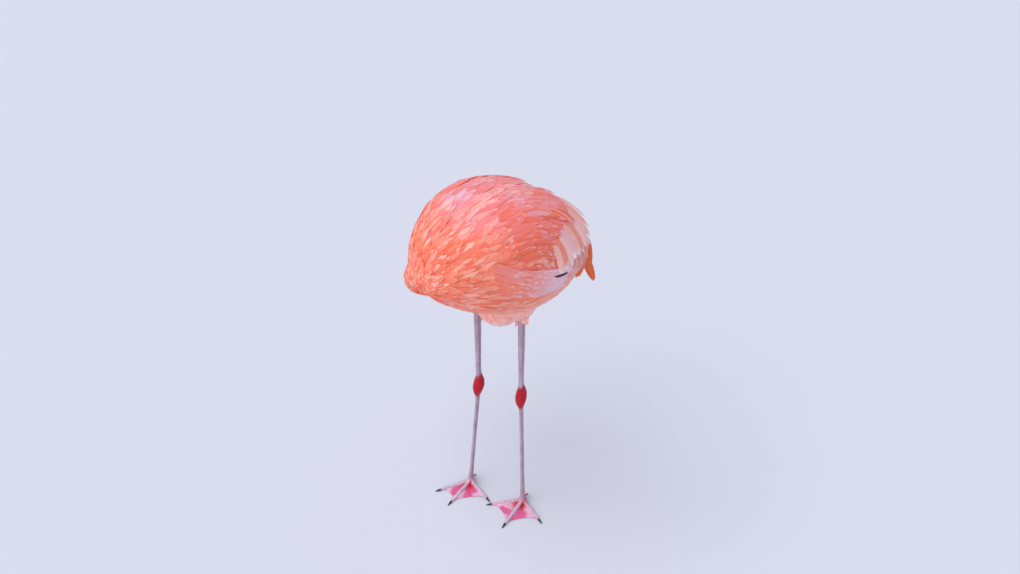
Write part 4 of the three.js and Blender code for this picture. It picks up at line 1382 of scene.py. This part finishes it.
SECONDARIES, LONG_SCAPULARS, QUILLS, TIPS = 11, 8, 6, 4
PLUME_STEPS = 14
TERTIAL_PLUMES = [
    # drift to the rear, share of the path's length, colour
    (-3.5, 1, DEEP_ORANGE), (2.5, 1, ORANGE), (-2, 0.62, PEACH), (5, 0.56, BLUSH), (1, 0.46, CORAL),
]


def secondaries(side, sign):
    """A rank of broad feathers that curves down behind the whirl like a curtain."""
    count = SECONDARIES
    share = np.linspace(0, 1, count)
    turn = np.arange(count) % 4
    core = blend_of(PEACH, PALE, 0.25 + 0.6 * chance.random(count))
    core = blend_of(core, DEEP_ORANGE, np.where(turn == 1, 0.8, 0.04) * chance.uniform(0.7, 1, count))
    core = blend_of(core, LILAC, 0.45 * (turn == 3) + 0.1)
    fringe = blend_of(paint("#FFF0EE"), LILAC, 0.2 + 0.6 * chance.random(count))
    rank = whirl_rank(
        [-14, 12, 38, 62, 84], [70, 84, 92, 96, 98], run([92, 104, 116, 122, 126], share), 12.0,
        6.5 + 2.5 * share, (core, fringe, 0.7 + 0.5 * chance.random(count)), sign,
    )
    piece = grow(f"{side}_secondaries", rank, rows=18, point=2.6, ragged=0.05, loose=0.3, soft=0.4)
    wear(piece, tertial_feather, "tertial_feather")


def long_scapulars(side, sign):
    """A few broad feathers that lie over the rest, from the shoulder to the whirl."""
    count = LONG_SCAPULARS
    share = np.linspace(0, 1, count)
    core = blend_of(DEEP_ORANGE, ORANGE, chance.random(count))
    core = blend_of(core, LILAC, 0.5 * (np.arange(count) % 3 == 0))
    colours = (core, blend_of(core, LILAC, 0.7), 0.3 + 0.4 * chance.random(count))
    rank = whirl_rank(
        [-34, -8, 18, 44], [108, 108, 104, 100], 78, 6.4, 7.2 + 2.0 * share, colours, sign,
    )
    piece = grow(f"{side}_long_scapulars", rank, rows=14, point=2.2, ragged=0.08, loose=0.5, soft=0.4)
    wear(piece, wing_feather, "wing_feather")


def scapulars(side, sign):
    """Feathers that spring from the shoulder and cover the top of the wing."""
    grid = uneven_grid(26, 9, 0.025)
    behind = -78 + 158 * grid[:, 0] - 12 * grid[:, 1]
    above = run([50, 66, 84, 100, 112, 120], grid[:, 1]) + 6 * ease(0, 60, behind) * (1 - grid[:, 1])
    spots = side_points(behind, above, sign)
    luck = chance.random(len(spots))
    core = blend_of(plumage(spots)[0], blend_of(CORAL, ORANGE, luck), 0.5)
    core = blend_of(core, PINK, 0.45 * grid[:, 1])
    core = blend_of(core, DEEP_ORANGE, 0.5 * (chance.random(len(spots)) > 0.75))
    fringe = blend_of(core, blend_of(BLUSH, LILAC, 0.3 + 0.5 * chance.random(len(spots))), 0.65)
    colours = (core, fringe, 0.35 + 0.8 * chance.random(len(spots)))
    rank = long_coat(
        spots, np.broadcast_to(BACK_WAY, spots.shape), trunk_lie, 54 + 18 * grid[:, 0], 5.2,
        4.0 + 2.4 * grid[:, 0], colours, steps=9,
    )
    wear(grow(f"{side}_scapulars", rank, rows=12, ragged=0.12), wing_feather, "wing_feather", f"{side}_wing")


def tertials(side, sign):
    """The longest and loosest feathers, which droop over the tail. Shorter ones cover their tops."""
    paths, cores = [], []
    for path in TERTIAL_PATHS:
        for drift, reach, tint in TERTIAL_PLUMES:
            bend = np.array([0, drift, -0.6 * abs(drift)]) + chance.normal(0, 0.8, 3)
            bent = smooth_path(path + bend * np.linspace(0.2, 1, len(path))[:, None], 60)
            cut = bent[np.linspace(0, 59 * reach, PLUME_STEPS).round().astype(int)]
            paths.append(cut + 3.0 * (1 - reach) * unit(cut - TRUNK_CENTRE))
            cores.append(tint)
    paths, count = np.array(paths), len(paths)
    flat_on = ease(0.35, 0.75, np.linspace(0, 1, PLUME_STEPS))[:, None]
    facing = unit(unit(paths - TRUNK_CENTRE) * (1 - flat_on) + np.array([1, -0.45, 0.3]) * flat_on)
    paths, facing = on_this_side(paths, sign), facing * [sign, 1, 1]
    core = np.array(cores) * chance.uniform(0.88, 1, (count, 1))
    plumes = feathers(
        paths, facing, 9.0 * chance.uniform(0.85, 1.05, count), wide_patch(paths[:, 0]),
        (core, blend_of(core, PALE, 0.45), 0.35), 0.22, chance.normal(0, 0.1, count),
    )
    piece = grow(f"{side}_tertials_drooping", plumes, rows=16, point=3.0, ragged=0.08, loose=0.5, soft=0)
    wear(piece, tertial_feather, "tertial_feather", f"{side}_tertials")


def primaries(side, sign):
    """Black feathers, folded out of sight under the secondaries."""
    share = np.linspace(0, 1, QUILLS)[:, None, None]
    paths = PRIMARY_PATHS[0] * (1 - share) + PRIMARY_PATHS[1] * share + share * [2.4, 0, 0]
    paths = on_this_side([smooth_path(path, PLUME_STEPS) for path in paths], sign)
    quills = feathers(
        paths, unit(paths - TRUNK_CENTRE), 8.5, wide_patch(paths[:, 0]), black(QUILLS), 0.15, 0.0,
    )
    # The tips of the shorter ones show as a dark line over the flank plumes.
    spots = side_points([-10, -6, -2, 2], [-4, -6, -7, -8], sign)
    tips = long_coat(
        spots, np.tile(TIP_WAY, (TIPS, 1)), always(TIP_WAY), [59, 56, 52, 48], [2.2, 2.6, 3.0, 3.2],
        8.0, black(TIPS), steps=PLUME_STEPS,
    )
    quills = {label: np.concatenate([quills[label], tips[label]]) for label in quills}
    piece = grow(f"{side}_primary_quills", quills, rows=16, point=2.2, ragged=0.02, loose=0.1, soft=0)
    wear(piece, flight_feather, "flight_feather", f"{side}_primaries")


def flank_plumes(side, sign):
    """Loose pale feathers, which sweep back along the wing's lower edge."""
    grid = uneven_grid(24, 6, 0.03)
    behind = -118 + 120 * grid[:, 0]
    above = np.interp(behind, [-118, -90, -40, 0, 30], [44, 26, 2, -12, -22]) + 16 - 46 * grid[:, 1]
    spots = side_points(behind, above, sign)
    core = blend_of(BLUSH, LILAC, 0.15 + 0.7 * chance.random(len(spots)))
    core = blend_of(core, SALMON, 0.8 * (chance.random(len(spots)) > 0.6))
    core = blend_of(plumage(spots)[0], core, (0.3 + 0.7 * grid[:, 0]) * (1 - 0.25 * grid[:, 1]))
    core = blend_of(core, blend_of(LILAC, PALE, 0.3), 0.95 * ease(0.25, 0.75, grid[:, 0]))
    fringe = blend_of(core, blend_of(paint("#FFF0F2"), LILAC, 0.3 + 0.4 * chance.random(len(spots))), 0.6)
    colours = (core, fringe, 0.5 + 0.7 * chance.random(len(spots)))
    rank = long_coat(
        spots, flank_lie(*on_skin(spots)), flank_lie, 62 - 8 * grid[:, 1], 5.8, 7.5 - 2.5 * grid[:, 1],
        colours, steps=9, roll=0.12,
    )
    wear(grow(f"{side}_flank_plumes", rank, rows=12, ragged=0.28, loose=1.4), wing_feather, "body_feather")


for side, sign in (("left", 1), ("right", -1)):
    for tract in (secondaries, long_scapulars, scapulars, tertials, primaries, flank_plumes):
        tract(side, sign)


# ---- Tail
# Twelve short tail feathers in a flat fan, under the drooping tertials. Coverts cover
# their roots above and below.
TAIL_SPREAD = 0.36
TAIL_FEATHERS = 12
share = np.linspace(-1, 1, TAIL_FEATHERS)
tail_way = unit(TAIL_TIP - TAIL_ROOT)
tail_up = unit(np.cross(np.array([1.0, 0, 0]), tail_way))
along = np.linspace(0.02, 1, 12)[None, :, None] * np.linalg.norm(TAIL_TIP - TAIL_ROOT) * 0.97
splay = unit(tail_way + TAIL_SPREAD * share[:, None] * np.array([1.0, 0, 0]))
spine = TAIL_ROOT + share[:, None, None] * np.array([13.0, 0, 0]) + splay[:, None] * along
spine = spine + tail_up * (3.5 - 2.2 * np.abs(share))[:, None, None]
core = blend_of(CORAL, PINK, 0.3 + 0.5 * chance.random(TAIL_FEATHERS))
patch = np.stack([0.01 + 0.98 * (share + 1) / 2, 0.05 + 0.9 * (np.arange(TAIL_FEATHERS) % 2)], 1)
tail_coat = feathers(
    spine, np.broadcast_to(tail_up, spine.shape), 9.5, patch, (core, blend_of(core, PALE, 0.5), 0.4),
    0.15, 0.1 * share,
)
tail_feathers = grow("tail_feathers", tail_coat, rows=16, point=2.8, ragged=0.05, loose=0.3, soft=0)
wear(tail_feathers, tertial_feather, "body_feather", "tail")

COVERT_END = 0.9
turn, step = np.meshgrid(np.linspace(0, 1, 16, endpoint=False), np.linspace(0, COVERT_END, 4))
turn = (turn + 0.03 * (np.arange(4) % 2)[:, None]).ravel()
angle, step = 2 * np.pi * turn, step.ravel()
spots = TAIL_ROOT + np.outer(step * STUMP_REACH, TAIL_TIP - TAIL_ROOT)
spots = spots + np.outer(np.cos(angle), stump_wide) + np.outer(np.sin(angle), stump_tall)
core, fringe, breadth = plumage(spots)
coverts = coat_of(
    spots, always(tail_way), 46, 9.5, 5, patches_at(turn % 1, step / COVERT_END),
    (blend_of(core, PINK, 0.4), fringe, breadth), jitter=0.15,
)
wear(grow("tail_coverts", coverts), contour_feather, "body_feather")


# ---- Skin surface
# The skin carries the plumage's colour where feathers cover it. Where it is bare it is
# mauve on the legs, crimson on the ankles with painted shade at their backs, pink on the
# webs with a painted sheen, and pale round the eye.
MAUVE = paint("#C3A8BC")
LEG_SHADE = paint("#A88CA0")
CRIMSON = paint("#C2001C")
WINE = paint("#760C30")
WEB_PINK = paint("#E2689C")
WEB_PAINTED_SHEEN = paint("#EFC3DC")
TOE_LILAC = paint("#D9C4DC")
FACE_PINK = paint("#F2C9C0")
EYE_RING = paint("#E58F93")
ANKLE_REACH = (281.0, 338.0)


def toe_gap(points, leg):
    """How far points lie from the nearest toe's middle line, seen from above, and how far along."""
    level = points[:, :2] - np.array(leg["foot"][:2])
    gaps, along = [], []
    for turn, length in leg["toes"]:
        ahead = heading(turn)[:2]
        reach = (level @ ahead).clip(0, length)
        gaps.append(np.linalg.norm(level - reach[:, None] * ahead, axis=1))
        along.append(reach / length)
    gaps, along = np.array(gaps), np.array(along)
    nearest = gaps.argmin(0)
    rows = np.arange(len(points))
    return gaps[nearest, rows], along[nearest, rows]


def tint_of(points):
    """The skin's colour at points, and how scaly it is there."""
    cloud, fine = patchy(points, 21, 4), patchy(points, 5, 2)
    tint = blend_of(plumage(points)[0], DEEP_ORANGE, 0.3)
    scaly = np.zeros(len(points))
    height = points[:, 2]
    legs = height < THIGH_END + 8
    for leg in LEGS.values():
        shank_gap = np.linalg.norm((points - leg_middle(leg, height))[:, :2], axis=1)
        foot_gap = np.linalg.norm(points[:, :2] - leg["foot"][:2], axis=1)
        near = legs & (shank_gap < 14) & (height > 14) | (height <= 26) & (foot_gap < 105)
        spots = points[near]
        bare_tint = blend_of(MAUVE, LEG_SHADE, 0.9 * cloud[near] + 0.3 * (fine[near] - 0.5))
        ahead = (spots - leg_middle(leg, spots[:, 2])) @ foot_forward
        low = ANKLE_REACH[0] - 0.55 * ahead + 5 * (fine[near] - 0.5)
        high = ANKLE_REACH[1] - 0.9 * ahead + 5 * (fine[near] - 0.5)
        ankle = ease(low - 3, low + 3, spots[:, 2]) * ease(high + 4, high - 4, spots[:, 2])
        # The ankle is painted darker, wine red, towards its back, as the shade on the side away from the
        # light.
        red = blend_of(CRIMSON, WINE, 0.3 * fine[near] + 0.7 * ease(-2, 9, -ahead))
        bare_tint = blend_of(bare_tint, red, ankle)
        gap, along = toe_gap(spots, leg)
        low_down = ease(-23, -13, -spots[:, 2])
        # The webs are painted paler in patches and towards the ends of the toes, a painted sheen that stands
        # in for their glossy reflection.
        sheen = 0.9 * ease(0.45, 0.75, cloud[near] + 0.22 * ease(0.5, 0.9, along))
        web = blend_of(blend_of(WEB_PINK, WEB_PAINTED_SHEEN, sheen), WINE, 0.25 * fine[near])
        web = blend_of(web, CRIMSON, ease(0.5, 0.12, along))
        crown = blend_of(TOE_LILAC, MAUVE, 0.6 * fine[near])
        crown = blend_of(crown, CRIMSON, 0.75 * ease(0.45, 0.05, along) * cloud[near])
        foot = blend_of(crown, web, np.maximum(ease(3.6, 5.4, gap), ease(5.5, 3.2, spots[:, 2])))
        tint[near] = blend_of(bare_tint, foot, low_down)
        scaly[near] = 1 - 0.55 * low_down * ease(3.6, 5.4, gap)
    head = np.linalg.norm(points - HEAD_PLACE, axis=1) < 60
    forward, up, left = head_measure(points[head])
    lore = np.maximum(
        ease(7, 12, forward) * ease(-5, 0, lore_gap(forward, up, 1.5)), ease(26, 29, forward),
    )
    ring = ease(10.5, 8, eye_gap(forward, up)) * (np.abs(left) > 8)
    face = blend_of(FACE_PINK, EYE_RING, 0.45 * fine[head])
    tint[head] = blend_of(blend_of(tint[head], face, lore), EYE_RING, 0.75 * ring)
    scaly[head] = 0.35 * np.maximum(lore, ring)
    return tint, scaly


def tinted(piece):
    """The piece with the skin's colour in an attribute, and its scaliness in the alpha."""
    tint, scaly = tint_of(measure(read(piece.data.vertices, "co", 3)))
    mark(piece.data, "Tint", "FLOAT_COLOR", np.concatenate([tint, scaly[:, None]], 1))


skin_material, tree, surface = new_surface("bare_skin", Specular_IOR_Level=0.3)
tint, spot = attribute(tree, "Tint"), object_place(tree)
scales = shader(tree, "ShaderNodeTexVoronoi", Vector=spot, Scale=420.0)
scales.feature = "DISTANCE_TO_EDGE"
scale_edge = stepped(tree, scales.outputs["Distance"], 0.0, 0.16)
mottle = grain_of(tree, spot, 150.0)
furrow = maths(tree, "MULTIPLY", maths(tree, "SUBTRACT", 1.0, scale_edge), tint["Alpha"])
shade = maths(tree, "MULTIPLY_ADD", mottle, 0.5, 0.75)
shade = maths(tree, "SUBTRACT", shade, maths(tree, "MULTIPLY", furrow, 0.16))
scale_height = maths(tree, "MULTIPLY", scale_edge, tint["Alpha"])
height = maths(tree, "MULTIPLY_ADD", grain_of(tree, spot, 900.0), 0.3, scale_height)
relief(tree, surface, height, 0.5, 0.0004)
fill_in(
    tree, surface, Base_Color=shaded(tree, tint["Color"], shade),
    Roughness=maths(tree, "MULTIPLY_ADD", mottle, 0.3, 0.18),
)

tinted(skin)
skin.data.materials.clear()
wear(
    skin, skin_material, "leg_skin", "trunk", "belly", "head", *[f"neck_{part}" for part in range(1, 6)],
    *[f"{side}_{part}" for side in LEGS for part in ("thigh", "shank", "ankle", "tarsus", "foot")],
)


# ---- Leg scutes
# Horny plates run down the front and back of each leg and out along the toes, each over
# the next. One plate is copied along lines of places, and all become one mesh.
PLATE_ARC = math.radians(62)
PLATE_SPACING = 4.6
TOE_PLATE_SPACING = 3.9
PLATE_OVERLAP = 0.62         # half a plate's length, in spacings
PLATE_RINGS = [
    # place along the plate, width, how proud it stands
    (1, 0.9, 0.97), (0.4, 1, 1.0), (-0.3, 1, 1.03), (-0.8, 0.92, 1.055), (-1, 0.72, 1.05),
]
across = np.linspace(-1, 1, 7) * PLATE_ARC
plate_rings = []
for lengthwise, width, proud in PLATE_RINGS:
    arc = across * width
    top = np.stack([np.sin(arc), np.full(7, lengthwise), np.cos(arc)], -1) * [proud, 1, proud]
    plate_rings.append(np.concatenate([top, [[0, lengthwise * 0.96, 0.86]]]))
plate = loft("plate", np.array(plate_rings))
plate.data.transform(Matrix.Scale(1 / MM, 4) @ Matrix.Translation(-Vector(BIRD_ORIGIN)))

plate_places, plate_turns, plate_sizes, plate_patches = [], [], [], []


def add_plate(spot, up_way, out_way, size, patch):
    """One plate's middle, turn, half sizes and place on the bake's map."""
    up_way, out_way = Vector(up_way).normalized(), Vector(out_way).normalized()
    axes = Matrix((up_way.cross(out_way), up_way, out_way)).transposed()
    plate_places.append(spot)
    plate_turns.append(tuple(axes.to_euler()))
    plate_sizes.append(np.array(size) * MM)
    plate_patches.append(patch)


for column, (side, leg) in enumerate(LEGS.items()):
    stations = np.array([run(rows, np.linspace(0, 1, 400)) for rows in LEG_STATIONS.T])
    stations = stations[:, stations[0].argsort()]
    for height in np.r_[np.arange(20, 277, PLATE_SPACING), np.arange(340, THIGH_END + 6, PLATE_SPACING)]:
        half_width, half_length, ahead = (np.interp(height, stations[0], rows) for rows in stations[1:])
        middle = leg_middle(leg, height) + ahead * foot_forward
        middle[2] = height
        for face, way in enumerate((foot_forward, -foot_forward)):
            patch = (0.06 + 0.5 * column + 0.12 * face, 0.02 + 0.96 * height / 500)
            add_plate(middle, UP, way, (half_width, PLATE_OVERLAP * PLATE_SPACING, half_length), patch)
    for number, (turn, length) in enumerate(leg["toes"]):
        rings = toe_rings(leg, turn, length)
        for reach in np.arange(9, length - 4, TOE_PLATE_SPACING):
            ring = rings[round((TOE_ROWS - 1) * (reach - TOE_START) / (length - TOE_START))]
            half = (ring.max(0) - ring.min(0))[2] / 2
            wide = np.linalg.norm(ring[0] - ring[8]) / 2
            patch = (0.3 + 0.5 * column + 0.06 * number, 0.02 + 0.96 * reach / 80)
            sizes = (wide, PLATE_OVERLAP * TOE_PLATE_SPACING, half)
            add_plate(ring.mean(0), -heading(turn), UP, sizes, patch)

spot_mesh = bpy.data.meshes.new("leg_scutes")
spot_mesh.from_pydata([tuple(spot) for spot in place(plate_places)], [], [])
mark(spot_mesh, "Turn", "FLOAT_VECTOR", plate_turns)
mark(spot_mesh, "Size", "FLOAT_VECTOR", plate_sizes)
scutes = added("leg_scutes", spot_mesh)

growth = bpy.data.node_groups.new("plates along lines", "GeometryNodeTree")
growth.interface.new_socket(name="Geometry", in_out="INPUT", socket_type="NodeSocketGeometry")
growth_inputs = {}
for label, kind, value in (
    ("Plate", "NodeSocketObject", plate), ("Surface", "NodeSocketMaterial", skin_material),
    ("Uneven", "NodeSocketFloat", 0.035), ("Seed", "NodeSocketInt", SEED),
):
    socket = growth.interface.new_socket(name=label, in_out="INPUT", socket_type=kind)
    growth_inputs[socket.identifier] = value
growth.interface.new_socket(name="Geometry", in_out="OUTPUT", socket_type="NodeSocketGeometry")
growth_in, growth_out = growth.nodes.new("NodeGroupInput").outputs, growth.nodes.new("NodeGroupOutput")


def stored(label):
    """A direction or size stored at each of the places."""
    node = shader(growth, "GeometryNodeInputNamedAttribute", Name=label)
    node.data_type = "FLOAT_VECTOR"
    return node.outputs[0]


info = shader(growth, "GeometryNodeObjectInfo", Object=growth_in["Plate"])
uneven = shader(
    growth, "FunctionNodeRandomValue", _2=maths(growth, "SUBTRACT", 1.0, growth_in["Uneven"]),
    _3=maths(growth, "ADD", 1.0, growth_in["Uneven"]), Seed=growth_in["Seed"],
)
sized = shader(growth, "ShaderNodeVectorMath", _0=stored("Size"))
sized.operation = "SCALE"
fill_in(growth, sized, Scale=uneven.outputs[1])
turned_way = shader(growth, "FunctionNodeEulerToRotation", _0=stored("Turn"))
copies = shader(
    growth, "GeometryNodeInstanceOnPoints", Points=growth_in["Geometry"], Instance=info.outputs["Geometry"],
    Rotation=turned_way.outputs[0], Scale=sized.outputs[0],
)
real = shader(growth, "GeometryNodeRealizeInstances", _0=copies.outputs[0])
surfaced = shader(growth, "GeometryNodeSetMaterial", _0=real.outputs[0], Material=growth_in["Surface"])
growth.links.new(surfaced.outputs[0], growth_out.inputs[0])
modifier = scutes.modifiers.new("plates", "NODES")
modifier.node_group = growth
for identifier, value in growth_inputs.items():
    modifier[identifier] = value
plate_map = read(plate.data.vertices, "co", 3)[:, :2] / 2
finished(scutes)
bpy.data.objects.remove(plate)
number, corner = np.divmod(read(scutes.data.loops, "vertex_index", kind=np.int32), len(plate_map))
map_out(scutes.data, "OFBake", (np.array(plate_patches)[number] + PATCH * plate_map[corner]).clip(0, 1))
tinted(scutes)
scutes.data.shade_smooth()
scutes.data.materials.clear()
wear(scutes, skin_material, "leg_skin")


# ---- Bill
# The deep bill bends sharply down at its middle. The upper half is a narrow lid with a
# slit nostril at each side, and the lower one a deep keel with fine teeth at its rim.
HALF_GAP = 0.15
GAPE_LINE = [[25, -7], [46, -9.5], [60, -15], [71, -26], [78, -42], [81, -58], [80, -72]]
UPPER_HEIGHTS = [13, 11.5, 10, 9.5, 9, 7.5, 2.6]
LOWER_HEIGHTS = [12.5, 15, 17.5, 17.5, 14, 9, 3]
BILL_HALF_WIDTHS = [12.5, 13, 13.5, 13.5, 12, 8.5, 2.6]
UPPER_SLIMNESS = 0.94
BILL_ROWS, BILL_SIDES = 150, 47
NOSTRIL = {"along": 0.2, "length": 0.055, "angle": 0.82, "height": 0.12, "depth": 1.5}
TEETH = 58

horn, tree, surface = new_surface("horn", Coat_Weight=0.15, Coat_Roughness=0.3)
spot = object_place(tree)
cloud = grain_of(tree, spot, 130.0, 4.0)
worn = grain_of(tree, spot, 700.0)
edge = maths(tree, "SUBTRACT", attribute(tree, "Along")["Fac"], 0.08)
edge = maths(tree, "MULTIPLY_ADD", cloud, 0.16, edge)
tone = mixed(tree, stepped(tree, edge, 0.02, 0.4), paint("#EFD3C6"), paint("#E99C97"))
tone = mixed(tree, stepped(tree, edge, 0.47, 0.53), tone, paint("#17110F"))
tone = mixed(tree, maths(tree, "MULTIPLY", worn, 0.16), tone, paint("#6B4A44"))
fill_in(tree, surface, Base_Color=tone, Roughness=maths(tree, "MULTIPLY_ADD", cloud, 0.25, 0.2))
relief(tree, surface, worn, 0.25, 0.0004)


def along_marks(piece, values):
    """A number at each point of the piece, for its material to read."""
    mark(piece.data, "Along", "FLOAT", values)


def bill_half(name, heights, above):
    """One half of the bill, from the gape line out. Above is 1 for the upper half, -1 for the lower."""
    along = np.linspace(0.02, 1, BILL_ROWS)[:, None]
    spine = run(GAPE_LINE, along[:, 0])
    tangent = unit(np.gradient(spine, axis=0))
    rise = np.stack([-tangent[:, 1], tangent[:, 0]], -1) * above
    height = run(heights, along)
    wide = run(BILL_HALF_WIDTHS, along) * (UPPER_SLIMNESS if above > 0 else 1)
    angle = np.linspace(0, np.pi, BILL_SIDES)
    flank_angle = np.minimum(angle, np.pi - angle)
    dent = 0.55 * np.exp(-((flank_angle - 0.42) / 0.13) ** 2) * np.sin(np.pi * along) ** 0.5
    if above > 0:
        reach = np.hypot(
            (along - NOSTRIL["along"]) / NOSTRIL["length"],
            (flank_angle - NOSTRIL["angle"]) / NOSTRIL["height"],
        )
        dent = dent + NOSTRIL["depth"] * np.exp(-reach**4)
    teeth = 0.22 * np.sin(2 * np.pi * TEETH * along) * np.exp(-(flank_angle / 0.1) ** 2) * (along < 0.9)
    swell = 1 - (dent + teeth) / (0.5 * (height + wide))
    lift = HALF_GAP + height * np.sin(angle) ** 0.85 * swell
    spine, rise = (spine + [0.3, 0])[:, None], rise[:, None]
    # The last point of a ring is the middle of the gape, which makes their number even.
    lift = np.append(lift, np.full_like(along, HALF_GAP), 1)
    sideways = np.append(wide * np.cos(angle) * swell, 0 * along, 1)
    forward, up = np.moveaxis(spine + rise * lift[..., None], -1, 0)
    piece = loft(name, head_point(forward, up, sideways))
    along_marks(piece, np.broadcast_to(along, (BILL_ROWS, BILL_SIDES + 1)))
    wear(piece, horn, "bill", name.replace("_horn", "_bill"))


bill_half("upper_horn", UPPER_HEIGHTS, 1)
bill_half("lower_horn", LOWER_HEIGHTS, -1)


# ---- Claws
# Short blunt nails of dark horn. Those of the front toes rest on the ground, and the
# small hind one points down behind.
CLAW_REACH = 13.0
CLAW_SIDES = 20
claw_horn, tree, surface = new_surface("claw_horn")
streaks = grain_of(tree, object_place(tree), 600.0, 4.0)
edge = maths(tree, "MULTIPLY_ADD", streaks, 0.3, attribute(tree, "Along")["Fac"])
tone = mixed(tree, stepped(tree, edge, 0.12, 0.42), paint("#6E4A5E"), paint("#191318"))
fill_in(tree, surface, Base_Color=tone, Roughness=maths(tree, "MULTIPLY_ADD", streaks, 0.3, 0.2))
relief(tree, surface, streaks, 0.3, 0.0003)

along = np.linspace(0, 1, 26)
claws = []
for side, leg in LEGS.items():
    foot = np.array(leg["foot"], float)
    for turn, length in leg["toes"]:
        ahead, beside = heading(turn), heading(turn + 90)
        close = np.sqrt(np.clip(1 - ((along - 0.86) / 0.142).clip(0) ** 2, 0.02, 1))
        half_width = (2.9 - 1.9 * along) * close
        tall = (5 - 3.4 * along) * close
        spine = foot + np.outer(length + 0.3 + CLAW_REACH * along, ahead)
        spine[:, 2] = 0.5 + tall / 2
        rings = ovals(spine, np.outer(half_width, beside), np.outer(tall / 2, UP), CLAW_SIDES)
        claws.append(loft("claws", rings))
    spine = foot + np.outer(18.3 + 8 * along, heading(180))
    spine[:, 2] = 7 - 3.5 * along**1.4
    taper = np.sqrt(1 - along**2 * 0.985)
    rings = ovals(spine, np.outer(1.9 * taper, heading(90)), np.outer(2.1 * taper, UP), CLAW_SIDES)
    claws.append(loft("claws", rings))
for claw in claws:
    along_marks(claw, np.repeat(along, CLAW_SIDES))
claws = joined(claws)
wear(claws, claw_horn, "claw", *[f"{side}_claw_{toe}" for side in LEGS for toe in (1, 2, 3, "hind")])


# ---- Eyes
# Clear round eyes with a pale yellow iris and a small black pupil. Each sits in its
# socket, and the lids close round it.
EYE_SIDES = 48
eye_surface, tree, surface = new_surface(
    "eye_surface", Roughness=0.05, Coat_Weight=1.0, Coat_Roughness=0.02,
)
rays = grain_of(tree, object_place(tree), 1400.0)
edge = maths(tree, "MULTIPLY_ADD", rays, 0.03, attribute(tree, "Along")["Fac"])
tone = mixed(tree, rays, paint("#E9C84A"), paint("#F6E59A"))
tone = mixed(tree, stepped(tree, edge, 0.15, 0.135), tone, paint("#050404"))
tone = mixed(tree, stepped(tree, edge, 0.31, 0.35), tone, paint("#2B1310"))
fill_in(tree, surface, Base_Color=tone)

for side, sign in (("left", 1), ("right", -1)):
    centre = head_point(EYE_PLACE["forward"], EYE_PLACE["up"], sign * EYE_PLACE["left"])
    turn = np.linspace(0.02, np.pi - 0.02, 56)
    bulge = 1 + 0.05 * np.exp(-(turn / 0.5) ** 2)
    out = centre + np.outer(EYE_RADIUS * bulge * np.cos(turn), sign * head_left)
    radius = EYE_RADIUS * bulge * np.sin(turn)
    rings = ovals(out, np.outer(radius, head_forward), np.outer(radius, head_up), EYE_SIDES)
    ball = loft(f"{side}_eyeball", rings)
    along_marks(ball, np.repeat(turn / np.pi, EYE_SIDES))
    wear(ball, eye_surface, "eye", f"{side}_eye")


# ---- Stage
# A plain pale floor and an even pale sky, with one large soft light high up and a faint
# one low in front.
floor_mesh = bpy.data.meshes.new("floor")
floor_mesh.from_pydata([(-30, -30, 0), (30, -30, 0), (30, 30, 0), (-30, 30, 0)], [], [(0, 1, 2, 3)])
floor_surface = new_surface("floor", Base_Color=paint("#CFD2DF"), Roughness=0.9, Specular_IOR_Level=0.0)
floor_mesh.materials.append(floor_surface[0])
floor = added("floor", floor_mesh)

world = bpy.data.worlds.new("sky")
world.use_nodes = True
fill_in(world.node_tree, world.node_tree.nodes["Background"], Color=paint("#EDF1FA"), Strength=0.72)
bpy.context.scene.world = world

# The veiled sun stands high, and the low light comes in as off a pale wall.
for label, energy, spread, tint, aim in (
    ("veiled_sun", 1.45, 50, (1.0, 0.975, 0.95), (0.25, 0.75, -1.5)),
    ("low_fill", 1.4, 80, (1.0, 1.0, 1.0), (-0.15, 1.0, -0.12)),
):
    light = bpy.data.lights.new(label, "SUN")
    light.energy, light.angle, light.color = energy, math.radians(spread), tint
    added(label, light).rotation_euler = Vector(aim).to_track_quat("-Z", "Y").to_euler()

# The camera stands in front and to the left of the bird, and looks down on it.
CAMERA_SPOT = (1170.6, -1149.9, 1615.0)
CAMERA_AIM = Vector((-0.5859, 0.6067, -0.5373))
camera_data = bpy.data.cameras.new("camera")
camera_data.lens = 35.0
camera_data.sensor_width = 36.0
camera = added("camera", camera_data)
camera.location = place(CAMERA_SPOT)
camera.rotation_euler = CAMERA_AIM.to_track_quat("-Z", "Y").to_euler()
bpy.context.scene.camera = camera
bpy.context.scene.view_settings.view_transform = "Standard"
